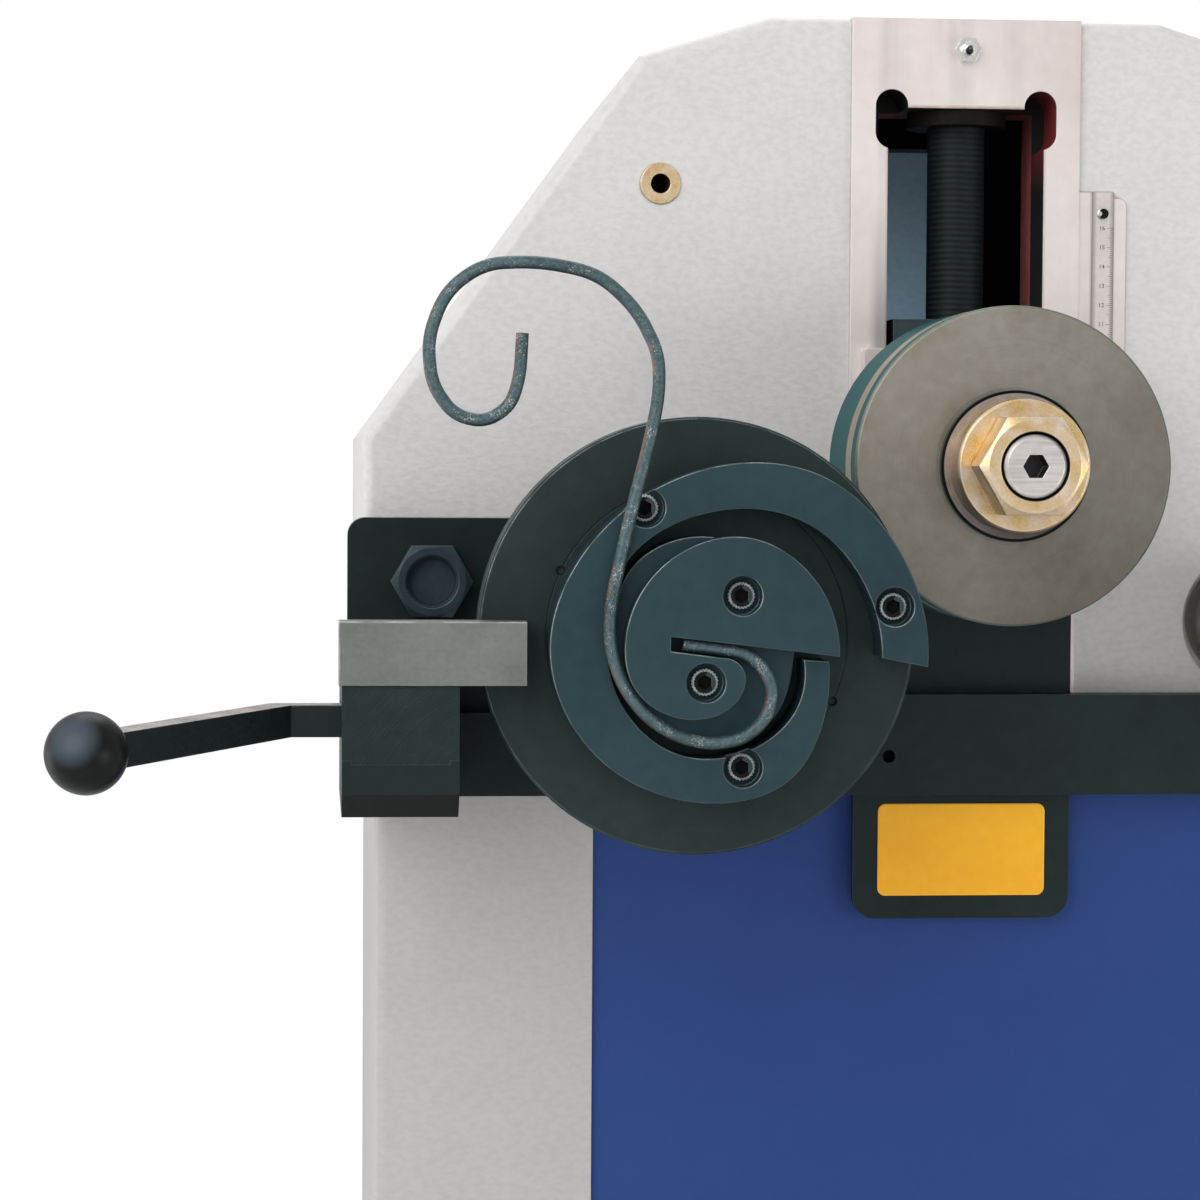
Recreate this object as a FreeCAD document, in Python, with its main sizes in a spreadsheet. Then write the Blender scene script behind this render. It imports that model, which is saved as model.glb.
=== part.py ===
import FreeCAD, Part
import math
import os
import re
import Sketcher

# Ring roller with a scroll-bending attachment, in millimetres.
# X runs to the right, Y to the back and Z up. The origin is on the floor, under the upper shaft's axis.

os.makedirs("parts", exist_ok=True)
doc = FreeCAD.newDocument("ring_roller")
sheet = doc.addObject("Spreadsheet::Sheet", "Dimensions")

DIMENSIONS = {
    # places of the three shafts
    "axis_height": 900,
    "axis_spread": 156.5,
    "upper_rise": 81,
    "shaft_radius": 25,
    "thread_radius": 15,
    "shoulder_radius": 32,
    # pedestal and base
    "base_half_width": 340,
    "base_thickness": 12,
    "anchor_inset": 18,
    "anchor_setback": 40,
    "anchor_radius": 7,
    "body_front": 147,
    "body_depth": 400,
    "pedestal_inset": 7,
    "pedestal_drop": 84,
    "return_width": 113,
    "rear_return": 45,
    "panel_overlap": 20,
    "sheet_wall": 3,
    "bend_radius": 6,
    "vent_width": 120,
    "vent_height": 8,
    "vent_pitch": 24,
    "vent_count": 6,
    "vent_level": 560,
    # head, heights from the upper axis
    "head_half_width": 312,
    "shoulder_rise": 14,
    "hip_half_width": 170,
    "hip_rise": 210.3,
    "top_half_width": 102.5,
    "top_rise": 231,
    "cover_clearance": 2,
    "shaft_opening": 38,
    "insert_spread": 159,
    "insert_rise": 144.5,
    "insert_radius": 10.5,
    "insert_bore": 5.1,
    # frame plates
    "frame_thickness": 25,
    "frame_gap": 169,
    "window_half_width": 190,
    "window_low": 110,
    "window_height": 520,
    "window_corner": 40,
    # upper slide
    "slide_half_width": 60,
    "slide_proud": 3,
    "slide_thickness": 31,
    "slot_half_width": 41,
    "slot_top": 185,
    "slot_bottom": 72,
    "relief_radius": 8.5,
    "relief_length": 21,
    "scale_margin": 25,
    "scale_rise": 142.7,
    "scale_width": 11.6,
    "scale_inset": 6.9,
    "scale_length": 196,
    "scale_step": 1,
    "scale_tail": 5,
    "margin_drop": 3,
    "margin_corner": 4,
    "carriage_rise": 58,
    "carriage_drop": 48,
    "slide_clearance": 0.2,
    "keeper_half_width": 54.2,
    "keeper_rise": 60.4,
    "keeper_thickness": 10,
    "link_radius": 39,
    "link_bore": 30,
    "bearing_radius": 34,
    "running_clearance": 0.05,
    "moving_clearance": 0.3,
    # spindle
    "spindle_radius": 15,
    "spindle_setback": 28,
    "spindle_collar": 20,
    "collar_height": 8,
    "square_side": 17,
    "square_length": 18,
    "spindle_top": 226,
    "nut_radius": 22,
    "nut_flange": 26,
    "nut_flange_height": 8,
    "cap_height": 18,
    "cap_inset": 4,
    "pilot_depth": 14,
    "pilot_radius": 9,
    "nipple_rise": 215,
    "nipple_across": 12,
    "nipple_radius": 2.5,
    # upper roll
    "roll_radius": 77.5,
    "roll_standoff": 46,
    "roll_rear_width": 52,
    "roll_middle_width": 15,
    "roll_front_width": 14,
    "roll_chamfer": 1.2,
    "washer_radius": 36.5,
    "washer_thickness": 5,
    "collar_radius": 32,
    "collar_length": 20,
    "nut_across": 46,
    "nut_length": 24,
    "socket_radius": 5.4,
    "socket_depth": 12,
    # lower shafts and drive
    "lower_bearing_radius": 40,
    "bearing_cover_radius": 62,
    "bearing_cover_thickness": 10,
    "gear_gap": 8,
    "gear_width": 25,
    "mesh_angle": 23,
    "gear_teeth": 48,
    "pinion_teeth": 20,
    "backlash": 0.5,
    "pinion_shaft_radius": 15,
    "shaft_overhang": 6,
    "key_width": 14,
    "key_depth": 5,
    "key_margin": 4,
    "key_length": 30,
    "edge_bevel": 1.5,
    "gearbox_half_width": 70,
    "gearbox_gap": 20,
    "gearbox_half_height": 60,
    "gearbox_sump": 15,
    "gearbox_bore_depth": 30,
    "shelf_thickness": 15,
    "foot_drop": 80,
    "foot_thickness": 12,
    "motor_length": 210,
    "motor_offset": 6,
    "motor_flange_proud": 8,
    "motor_flange_height": 12,
    "fin_proud": 4,
    "fin_start": 34,
    "fin_height": 6,
    "fin_pitch": 22,
    "fin_count": 7,
    # scroll attachment
    "scroll_unit": 1,
    "disc_radius": 103.5,
    "disc_thickness": 22,
    "hub_radius": 71.5,
    "hub_sleeve_radius": 45,
    "hub_back_radius": 85,
    "hub_back_thickness": 9,
    "dowel_radius": 2.2,
    "dowel_recess": 1.5,
    "dowel_angle": 154.5,
    "segment_thickness": 25,
    "middle_thickness": 20,
    "former_thickness": 14,
    "screw_head_radius": 6.5,
    "screw_radius": 4,
    "counterbore_radius": 9.2,
    "counterbore_depth": 9,
    "screw_depth": 14,
    "bar_radius": 3,
    "bar_rest": 0.5,
    # bracket of the clamp holder, heights below the upper axis
    "guard_half_width": 57,
    "guard_thickness": 5,
    "guard_top": 70,
    "guard_bottom": 236,
    "guard_corner": 12,
    "bracket_thickness": 15,
    "bracket_reach": 42.3,
    "bracket_right": 250,
    "bracket_offset": 58.5,
    "bracket_top": 28,
    "bracket_band": 118,
    "bracket_bottom": 170,
    "bracket_corner": 9,
    "stud_inset": 34.6,
    "stud_right": 215,
    "stud_level": 59.8,
    "stud_right_level": 140,
    "stud_radius": 12,
    "stud_collar": 18,
    "stud_across": 36,
    "stud_nut_length": 19,
    "stud_recess": 8,
    "guard_screw_offset": 41,
    "guard_screw_level": 146,
    "guard_screw_radius": 4,
    "guard_head_radius": 7.5,
    "guard_socket": 5,
    "tapped_offset": 41,
    "tapped_level": 150,
    "tapped_radius": 3.4,
    "rail_thickness": 10,
    "rail_top": 127,
    # clamp holder
    "holder_gap": 9.2,
    "holder_width": 54.5,
    "holder_front": 324,
    "holder_top": 103,
    "joint_level": 137.8,
    "tongue_depth": 1.9,
    "tongue_ear": 4.6,
    "holder_bottom": 165.3,
    "holder_chamfer": 11.6,
    "shoulder_level": 84,
    "press_overhang": 1.5,
    "press_reach": 81.7,
    "press_height": 29.7,
    "press_depth": 20,
    "press_front": 326,
    # clamp lever
    "lever_side": 15,
    "lever_level": 121.1,
    "pivot_inset": 27.3,
    "lever_setback": 296,
    "bend_overhang": 28.3,
    "lever_reach": 193.5,
    "lever_angle": 66,
    "lever_hub_radius": 23,
    "crank_throw": 19,
    "crank_radius": 3.5,
    "crank_travel": 12.2,
    "pin_radius": 5,
    "ball_radius": 17.5,
    "ball_flat": 14,
    # control box
    "box_rise": 15,
    "box_half_height": 55,
    "box_depth": 60,
    "box_front": 60,
    "box_width": 42,
    "button_radius": 9,
    "button_pitch": 34,
    "button_height": 9,
    "button_travel": 4,
}

for row, (name, number) in enumerate(DIMENSIONS.items(), start=1):
    sheet.set(f"A{row}", name)
    sheet.set(f"B{row}", str(number))
    sheet.setAlias(f"B{row}", name)
doc.recompute()

NODES = []


# ---------------------------------------------------------------- helpers

def cell(expression):
    """The expression with every dimension's name pointing at its cell of the sheet."""
    def point(match):
        word = match.group()
        return "Dimensions." + word if word in DIMENSIONS else word
    return re.sub(r"[A-Za-z_]\w*", point, str(expression))


def bind(item, prop, expression):
    item.setExpression(prop, cell(expression))


def amount(expression):
    """The number that an expression of dimensions gives."""
    return float(sheet.evalExpression(cell(expression)))


def node(item, label):
    """Make an object one of the sub-parts, with the name of its file."""
    item.Label = label
    NODES.append(item)
    return item


def block(x, y, z):
    """A box from its low and high side along each axis."""
    box = doc.addObject("Part::Box", "Block")
    for size, axis, (low, high) in (("Length", "x", x), ("Width", "y", y), ("Height", "z", z)):
        bind(box, size, f"({high}) - ({low})")
        bind(box, "Placement.Base." + axis, low)
    return box


TURNS = {
    "x": FreeCAD.Rotation(FreeCAD.Vector(0, 1, 0), 90),
    "y": FreeCAD.Rotation(FreeCAD.Vector(1, 0, 0), -90),
    "z": FreeCAD.Rotation(),
}


def place(item, x, y, z):
    for axis, expression in zip("xyz", (x, y, z)):
        bind(item, "Placement.Base." + axis, expression)
    return item


def rod(axis, radius, at, low, high):
    """A cylinder along an axis, from low to high, at the two other coordinates."""
    cylinder = doc.addObject("Part::Cylinder", "Rod")
    cylinder.Placement = FreeCAD.Placement(FreeCAD.Vector(), TURNS[axis])
    bind(cylinder, "Radius", radius)
    bind(cylinder, "Height", f"({high}) - ({low})")
    spots = list(at)
    spots.insert("xyz".index(axis), low)
    return place(cylinder, *spots)


def hexagon(across, at, low, high):
    """A six-sided prism along Y, two of its flats upright."""
    prism = doc.addObject("Part::Prism", "Hexagon")
    prism.Polygon = 6
    prism.Placement = FreeCAD.Placement(FreeCAD.Vector(), TURNS["y"])
    bind(prism, "Circumradius", f"({across}) / 2 / cos(30 deg)")
    bind(prism, "Height", f"({high}) - ({low})")
    return place(prism, at[0], low, at[1])


def join(*parts):
    whole = doc.addObject("Part::MultiFuse", "Join")
    whole.Shapes = list(parts)
    whole.Refine = True
    return whole


def cut(base, *tools):
    rest = doc.addObject("Part::Cut", "Cut")
    rest.Base = base
    rest.Tool = tools[0] if len(tools) == 1 else join(*tools)
    return rest


def common(*parts):
    both = doc.addObject("Part::MultiCommon", "Common")
    both.Shapes = list(parts)
    return both


def group(*parts):
    """Separate equal solids that share one node."""
    bundle = doc.addObject("Part::Compound", "Group")
    bundle.Links = list(parts)
    return bundle


def front_body(name, x="0", z="0"):
    """A body drawn as seen from the front: its own x, y and z are X, Z and -Y."""
    body = doc.addObject("PartDesign::Body", name)
    body.Placement = FreeCAD.Placement(FreeCAD.Vector(), FreeCAD.Rotation(FreeCAD.Vector(1, 0, 0), 90))
    return place(body, x, "0", z)


def flat_body(name):
    """A body drawn from above, with the axes of the whole object."""
    return doc.addObject("PartDesign::Body", name)


def plane_of(body, role):
    return next(item for item in body.Origin.OriginFeatures if item.Role == role)


def draw(body, outline=(), circles=(), plane="XY_Plane", lift="0"):
    """A sketch of one closed outline and of circles (x, y, radius), with every size bound to the sheet."""
    sketch = body.newObject("Sketcher::SketchObject", "Sketch")
    sketch.AttachmentSupport = (plane_of(body, plane), [""])
    sketch.MapMode = "FlatFace"
    bind(sketch, "AttachmentOffset.Base.z", lift)
    points = [FreeCAD.Vector(amount(x), amount(y), 0) for x, y in outline]
    for index, start in enumerate(points):
        sketch.addGeometry(Part.LineSegment(start, points[(index + 1) % len(points)]), False)
    for index in range(len(points)):
        sketch.addConstraint(Sketcher.Constraint("Coincident", index, 2, (index + 1) % len(points), 1))
    for index, (x, y) in enumerate(outline):
        fix(sketch, "DistanceX", index, 1, x)
        fix(sketch, "DistanceY", index, 1, y)
    for x, y, radius in circles:
        centre = FreeCAD.Vector(amount(x), amount(y), 0)
        number = sketch.addGeometry(Part.Circle(centre, FreeCAD.Vector(0, 0, 1), amount(radius)), False)
        fix(sketch, "DistanceX", number, 3, x)
        fix(sketch, "DistanceY", number, 3, y)
        held = sketch.addConstraint(Sketcher.Constraint("Radius", number, amount(radius)))
        sketch.setExpression(f"Constraints[{held}]", cell(radius))
    return sketch


def fix(sketch, kind, number, end, expression):
    """Hold a point of a sketch at a distance from the origin, or on the axis where that is zero."""
    value = amount(expression)
    if value == 0:
        axis = -2 if kind == "DistanceX" else -1
        sketch.addConstraint(Sketcher.Constraint("PointOnObject", number, end, axis))
        return
    held = sketch.addConstraint(Sketcher.Constraint(kind, -1, 1, number, end, value))
    sketch.setExpression(f"Constraints[{held}]", cell(expression))


def pad(body, sketch, length):
    feature = body.newObject("PartDesign::Pad", "Pad")
    feature.Profile = sketch
    bind(feature, "Length", length)
    body.Tip = feature
    doc.recompute()
    return feature


def pocket(body, sketch, length, backward=False):
    before = body.Tip.Shape.Volume
    feature = body.newObject("PartDesign::Pocket", "Pocket")
    feature.Profile = sketch
    feature.Reversed = backward
    bind(feature, "Length", length)
    body.Tip = feature
    doc.recompute()
    if not feature.Shape.Volume < before:
        raise ValueError(f"{body.Name}: a pocket cuts nothing")
    return feature


def plate(name, outline, front, back, circles=(), x="0", z="0"):
    """A plate seen from the front, between two depths, with round holes."""
    body = front_body(name, x, z)
    thickness = f"({back}) - ({front})"
    pad(body, draw(body, outline, lift=f"-({back})"), thickness)
    if circles:
        pocket(body, draw(body, circles=circles, lift=f"-({back})"), thickness, backward=True)
    return body


def turned(name, profile, x="0", z="0"):
    """A turned piece about an axis along Y, from its half profile of (radius, Y) points."""
    body = front_body(name, x, z)
    sketch = draw(body, [(radius, f"-({y})") for radius, y in profile], plane="XZ_Plane")
    feature = body.newObject("PartDesign::Revolution", "Revolution")
    feature.Profile = sketch
    feature.ReferenceAxis = (sketch, ["V_Axis"])
    feature.Angle = 360
    body.Tip = feature
    doc.recompute()
    return body


def soften(body, kind, size, wanted):
    """Round or chamfer the edges of a body's last feature that a test picks."""
    base = body.Tip
    names = [f"Edge{number}" for number, edge in enumerate(base.Shape.Edges, 1) if wanted(edge)]
    feature = body.newObject("PartDesign::" + kind, kind)
    feature.Base = (base, names)
    bind(feature, "Radius" if kind == "Fillet" else "Size", size)
    body.Tip = feature
    doc.recompute()
    return feature


def upright(corners):
    """A test for the edges that run through a plate at the given corners of its outline."""
    spots = [(amount(x), amount(y)) for x, y in corners]

    def wanted(edge):
        ends = [vertex.Point for vertex in edge.Vertexes]
        return any(all(math.hypot(end.x - x, end.y - y) < 1e-4 for end in ends) for x, y in spots)
    return wanted


def ring(radius, bore, at, low, high):
    return cut(rod("y", radius, at, low, high), rod("y", bore, at, low, high))


def nut(name, across, bore, length, at, front):
    """A hexagon nut along Y, its faces and both mouths of its bore chamfered."""
    back = f"({front}) + ({length})"
    corner = f"({across}) / 2 / cos(30 deg)"
    face = f"({across}) * 0.475"
    slope = f"(({corner}) - ({face})) * 0.5"
    mouth = f"({bore}) + edge_bevel"
    barrel = turned(name + "_barrel", [
        (mouth, front), (face, front), (corner, f"({front}) + {slope}"),
        (corner, f"({back}) - {slope}"), (face, back), (mouth, back),
        (bore, f"({back}) - edge_bevel"), (bore, f"({front}) + edge_bevel"),
    ], *at)
    return common(barrel, hexagon(across, at, front, back))


# ---------------------------------------------------------------- planes and levels

UPPER = "(axis_height + upper_rise)"
Y_COVER = "(-body_front)"
Y_SLIDE = "(-body_front - slide_proud)"
Y_FRAME = f"({Y_SLIDE} + slide_thickness)"
Y_FRAME_BACK = f"({Y_FRAME} + frame_thickness)"
Y_REAR = f"({Y_FRAME_BACK} + frame_gap)"
Y_REAR_BACK = f"({Y_REAR} + frame_thickness)"
Y_GEAR = f"({Y_REAR_BACK} + gear_gap)"
Y_GEAR_BACK = f"({Y_GEAR} + gear_width)"
Y_BODY_BACK = "(body_depth - body_front)"
Y_SPINDLE = f"({Y_SLIDE} + spindle_setback)"
Y_KEEPER_BACK = f"({Y_SLIDE} - slide_clearance)"
Y_KEEPER = f"({Y_KEEPER_BACK} - keeper_thickness)"
Y_ROLL_BACK = f"({Y_SLIDE} - roll_standoff)"
Y_ROLL_STEP = f"({Y_ROLL_BACK} - roll_rear_width)"
Y_ROLL_STEP2 = f"({Y_ROLL_STEP} - roll_middle_width)"
Y_ROLL = f"({Y_ROLL_STEP2} - roll_front_width)"
Y_WASHER = f"({Y_ROLL} - washer_thickness)"
Y_COLLAR = f"({Y_WASHER} - collar_length)"
Y_NUT = f"({Y_COLLAR} - nut_length)"
Y_SHAFT_END = f"({Y_NUT} - 1)"
Y_DISC_BACK = Y_WASHER
Y_DISC = f"({Y_DISC_BACK} - disc_thickness)"
Y_SEGMENT = f"({Y_DISC} - segment_thickness)"
Y_MIDDLE = f"({Y_DISC} - middle_thickness)"
Y_FORMER = f"({Y_MIDDLE} - former_thickness)"
Y_BAR = f"({Y_SEGMENT} - bar_rest - bar_radius)"
Y_GUARD = f"({Y_SLIDE} - guard_thickness)"
Y_BRACKET = f"({Y_GUARD} - bracket_thickness)"
Y_RAIL = f"({Y_BRACKET} - rail_thickness)"
LEFT = ("-axis_spread", "axis_height")
RIGHT = ("axis_spread", "axis_height")
MIDDLE = ("0", UPPER)
PEDESTAL_TOP = "(axis_height - pedestal_drop)"
PEDESTAL_HALF = "(head_half_width - pedestal_inset)"
PINION_LEVEL = "(axis_height - axis_spread * tan(mesh_angle * 1 deg))"
GEARBOX_FRONT = f"({Y_GEAR_BACK} + gear_gap)"
GEARBOX_BACK = f"({Y_BODY_BACK} - gearbox_gap)"
MOTOR_RADIUS = f"(({Y_BODY_BACK} - {GEARBOX_FRONT}) / 2)"
# Distances to the left of the middle: the bracket's stud goes by the head, the clamp holder by the disc.
STUD_LEFT = "(head_half_width - stud_inset)"
BRACKET_LEFT = f"({STUD_LEFT} + bracket_reach)"
BRACKET_STEP = "(axis_spread + bracket_offset)"
HOLDER_RIGHT = "(axis_spread + disc_radius + holder_gap)"
HOLDER_LEFT = f"({HOLDER_RIGHT} + holder_width)"
LEVER_PIVOT = f"({HOLDER_LEFT} - pivot_inset)"
LEVER_BEND = f"({HOLDER_LEFT} + bend_overhang)"
PRESS_LEFT = f"({HOLDER_LEFT} + press_overhang)"
PRESS_RIGHT = "(axis_spread + press_reach)"


def level(rise):
    return f"({UPPER} + ({rise}))"


MARGIN_LOW = f"({level('scale_rise')} - scale_length - scale_tail)"


# ---------------------------------------------------------------- pedestal

def base_plate():
    body = flat_body("base_plate")
    low, high = Y_COVER, Y_BODY_BACK
    corners = [("-base_half_width", low), ("base_half_width", low), ("base_half_width", high),
               ("-base_half_width", high)]
    pad(body, draw(body, corners), "base_thickness")
    across = "base_half_width - anchor_inset"
    holes = [(f"{side}({across})", depth, "anchor_radius") for side in ("-", "")
             for depth in (f"{low} + anchor_setback", f"{high} - anchor_setback")]
    pocket(body, draw(body, circles=holes), "base_thickness", backward=True)
    soften(body, "Fillet", "bend_radius * 2", upright(corners))
    node(body, "base_plate")


def pedestal_side(label, side):
    """A folded side sheet: side wall, wide front return and narrow rear return."""
    body = flat_body(label)
    wall, edge = "sheet_wall", PEDESTAL_HALF
    front, back = Y_COVER, Y_BODY_BACK
    outline = [
        (f"{edge} - return_width", front), (edge, front), (edge, back), (f"{edge} - rear_return", back),
        (f"{edge} - rear_return", f"{back} - {wall}"), (f"{edge} - {wall}", f"{back} - {wall}"),
        (f"{edge} - {wall}", f"{front} + {wall}"), (f"{edge} - return_width", f"{front} + {wall}"),
    ]
    outline = [(f"{side}({x})", y) for x, y in outline]
    pad(body, draw(body, outline, lift="base_thickness"), f"{PEDESTAL_TOP} - base_thickness")
    soften(body, "Fillet", "bend_radius", upright(outline[1:3]))
    soften(body, "Fillet", "bend_radius - sheet_wall", upright(outline[5:7]))
    node(body, label)


def pedestal_panels():
    """The front panel lies behind the front returns, the rear one, with its vents, behind the rear ones."""
    reach = f"{PEDESTAL_HALF} - return_width + panel_overlap"
    front = f"{Y_COVER} + sheet_wall"
    low, high = "base_thickness + moving_clearance", PEDESTAL_TOP
    outline = [(f"-({reach})", low), (reach, low), (reach, high), (f"-({reach})", high)]
    node(plate("front_panel", outline, front, f"{front} + sheet_wall"), "front_panel")

    reach = f"{PEDESTAL_HALF} - rear_return + panel_overlap"
    back = f"{Y_BODY_BACK} - sheet_wall"
    outline = [(f"-({reach})", low), (reach, low), (reach, high), (f"-({reach})", high)]
    body = plate("rear_panel", outline, f"{back} - sheet_wall", back)
    vent = [("-vent_width / 2", "vent_level"), ("vent_width / 2", "vent_level"),
            ("vent_width / 2", "vent_level + vent_height"), ("-vent_width / 2", "vent_level + vent_height")]
    slot = pocket(body, draw(body, vent, lift=f"-({back})"), "sheet_wall", backward=True)
    row = body.newObject("PartDesign::LinearPattern", "Vents")
    row.Originals = [slot]
    row.Direction = (plane_of(body, "Y_Axis"), [""])
    bind(row, "Length", "vent_pitch * (vent_count - 1)")
    bind(row, "Occurrences", "vent_count")
    body.Tip = row
    node(body, "rear_panel")


# ---------------------------------------------------------------- frame and head

def frame_plate(label, front):
    """A thick portal plate from the base to the head, with the slide's slot and the lower shafts' bores."""
    gap = "(sheet_wall + cover_clearance)"
    side = f"{PEDESTAL_HALF} - {gap}"
    outline = [
        (f"-({side})", "base_thickness"), (side, "base_thickness"), (side, level("shoulder_rise - " + gap)),
        ("hip_half_width - " + gap, level("hip_rise - 2 * " + gap)),
        ("top_half_width - " + gap, level("top_rise - " + gap)),
        (f"-(top_half_width - {gap})", level("top_rise - " + gap)),
        (f"-(hip_half_width - {gap})", level("hip_rise - 2 * " + gap)),
        (f"-({side})", level("shoulder_rise - " + gap)),
    ]
    back = f"({front}) + frame_thickness"
    body = plate(label, outline, front, back, [
        ("-axis_spread", "axis_height", "lower_bearing_radius"),
        ("axis_spread", "axis_height", "lower_bearing_radius"),
    ])
    window = [("-window_half_width", "window_low"), ("window_half_width", "window_low"),
              ("window_half_width", "window_low + window_height"),
              ("-window_half_width", "window_low + window_height")]
    pocket(body, draw(body, window, lift=f"-({back})"), "frame_thickness", backward=True)
    soften(body, "Fillet", "window_corner", upright(window))
    slot = slot_outline()
    pocket(body, draw(body, slot, lift=f"-({back})"), "frame_thickness", backward=True)
    return body


def slot_outline():
    return [("-slot_half_width", level("-slot_bottom")), ("slot_half_width", level("-slot_bottom")),
            ("slot_half_width", level("slot_top")), ("-slot_half_width", level("slot_top"))]


def frames():
    bore = rod("z", "nut_radius", ("0", Y_SPINDLE), level("slot_top - 1"), level("top_rise + 1"))
    node(cut(frame_plate("front_plate", Y_FRAME), bore), "frame_front")
    rear = frame_plate("rear_plate", Y_REAR)
    spot = ("0", PINION_LEVEL)
    bearing = rod("y", "pinion_shaft_radius + running_clearance", spot, f"{Y_REAR} - 1", f"{Y_REAR_BACK} + 1")
    node(cut(rear, bearing), "frame_rear")


def head_outline(inset):
    """The right half of the head's outline, set in by a wall, from its lower corner to the top."""
    slant = f"({inset}) * 0.45"
    return [
        (f"head_half_width - {inset}", PEDESTAL_TOP),
        (f"head_half_width - {inset}", level(f"shoulder_rise - {slant}")),
        (f"hip_half_width - {inset} * 0.6", level(f"hip_rise - {inset}")),
        (f"top_half_width - {slant}", level(f"top_rise - {inset}")),
        ("slide_half_width", level(f"top_rise - {inset}")),
        ("slide_half_width", PEDESTAL_TOP),
    ]


def head_cover(label, side):
    """A deep folded cover of one half of the head, open at the back, below and towards the middle."""
    body = front_body(label + "_shell")
    outer = [(f"{side}({x})", y) for x, y in head_outline("0")]
    inner = [(f"{side}({x})", y) for x, y in head_outline("sheet_wall")]
    pad(body, draw(body, outer, lift=f"-{Y_BODY_BACK}"), "body_depth")
    inner[0] = (inner[0][0], f"{PEDESTAL_TOP} - 1")
    inner[5] = (f"{side}(slide_half_width - 1)", f"{PEDESTAL_TOP} - 1")
    inner[4] = (f"{side}(slide_half_width - 1)", inner[4][1])
    pocket(body, draw(body, inner, lift=f"-{Y_BODY_BACK}"), "body_depth - sheet_wall", backward=True)

    front = amount("body_front")
    corners = [(amount(x), amount(y)) for x, y in outer[:5]]

    def rim(edge):
        ends = [vertex.Point for vertex in edge.Vertexes]
        at_front = all(abs(end.z - front) < 1e-4 for end in ends)
        at_corners = all(any(math.hypot(end.x - x, end.y - y) < 1e-4 for x, y in corners) for end in ends)
        return at_front and at_corners
    soften(body, "Fillet", "bend_radius", rim)

    low, high = f"{Y_COVER} - 1", f"{Y_COVER} + sheet_wall + 1"
    tools = [
        rod("y", "shaft_opening", (f"{side}axis_spread", "axis_height"), low, high),
        rod("y", "insert_radius", (f"{side}insert_spread", level("insert_rise")), low, high),
    ]
    if side == "-":
        stud = (f"-{STUD_LEFT}", level("-stud_level"))
        tools.append(rod("y", "stud_collar + cover_clearance", stud, low, high))
        return node(cut(body, *tools), label)
    stud = ("stud_right", level("-stud_right_level"))
    tools.append(rod("y", "stud_collar + cover_clearance", stud, low, high))
    tools.append(margin("ruler_notch", "slide_half_width - 1", low, high, "moving_clearance"))
    return node(cut(body, *tools), label)


def margin(name, start, front, back, grown):
    """The strip beside the slide frame for the ruler: its outer part is lower, with a round corner."""
    step, edge = "slide_half_width + scale_inset + scale_width", "slide_half_width + scale_margin"
    foot, crown = f"{MARGIN_LOW} - ({grown})", level(f"scale_rise + ({grown})")
    right, middle, shoulder = f"{edge} + ({grown})", f"{step} + ({grown})", f"{crown} - margin_drop"
    outline = [(start, foot), (right, foot), (right, shoulder), (middle, shoulder), (middle, crown),
               (start, crown)]
    body = plate(name, outline, front, back)
    soften(body, "Fillet", "margin_corner", upright([outline[2]]))
    return body


def top_cover():
    """The strip of sheet between the two covers, folded down at the back as the head's rear wall."""
    body = front_body("top_sheet")
    wall = "(sheet_wall + moving_clearance)"
    half = [(f"head_half_width - {wall}", PEDESTAL_TOP),
            (f"head_half_width - {wall}", level(f"shoulder_rise - {wall}")),
            (f"hip_half_width - {wall}", level(f"hip_rise - 2 * {wall}")),
            (f"top_half_width - {wall}", level(f"top_rise - {wall}"))]
    outline = half + [(f"-({x})", y) for x, y in reversed(half)]
    pad(body, draw(body, outline, lift=f"-{Y_BODY_BACK}"), "sheet_wall")
    strip = "slide_half_width - moving_clearance"
    top = [(f"-({strip})", level(f"top_rise - {wall}")), (strip, level(f"top_rise - {wall}")),
           (strip, level("top_rise")), (f"-({strip})", level("top_rise"))]
    pad(body, draw(body, top, lift=f"-{Y_BODY_BACK}"), f"{Y_BODY_BACK} - {Y_FRAME}")
    bore = rod("z", "nut_radius", ("0", Y_SPINDLE), level("top_rise - 10"), level("top_rise + 10"))
    node(cut(body, bore), "top_cover")


# ---------------------------------------------------------------- upper slide

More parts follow.
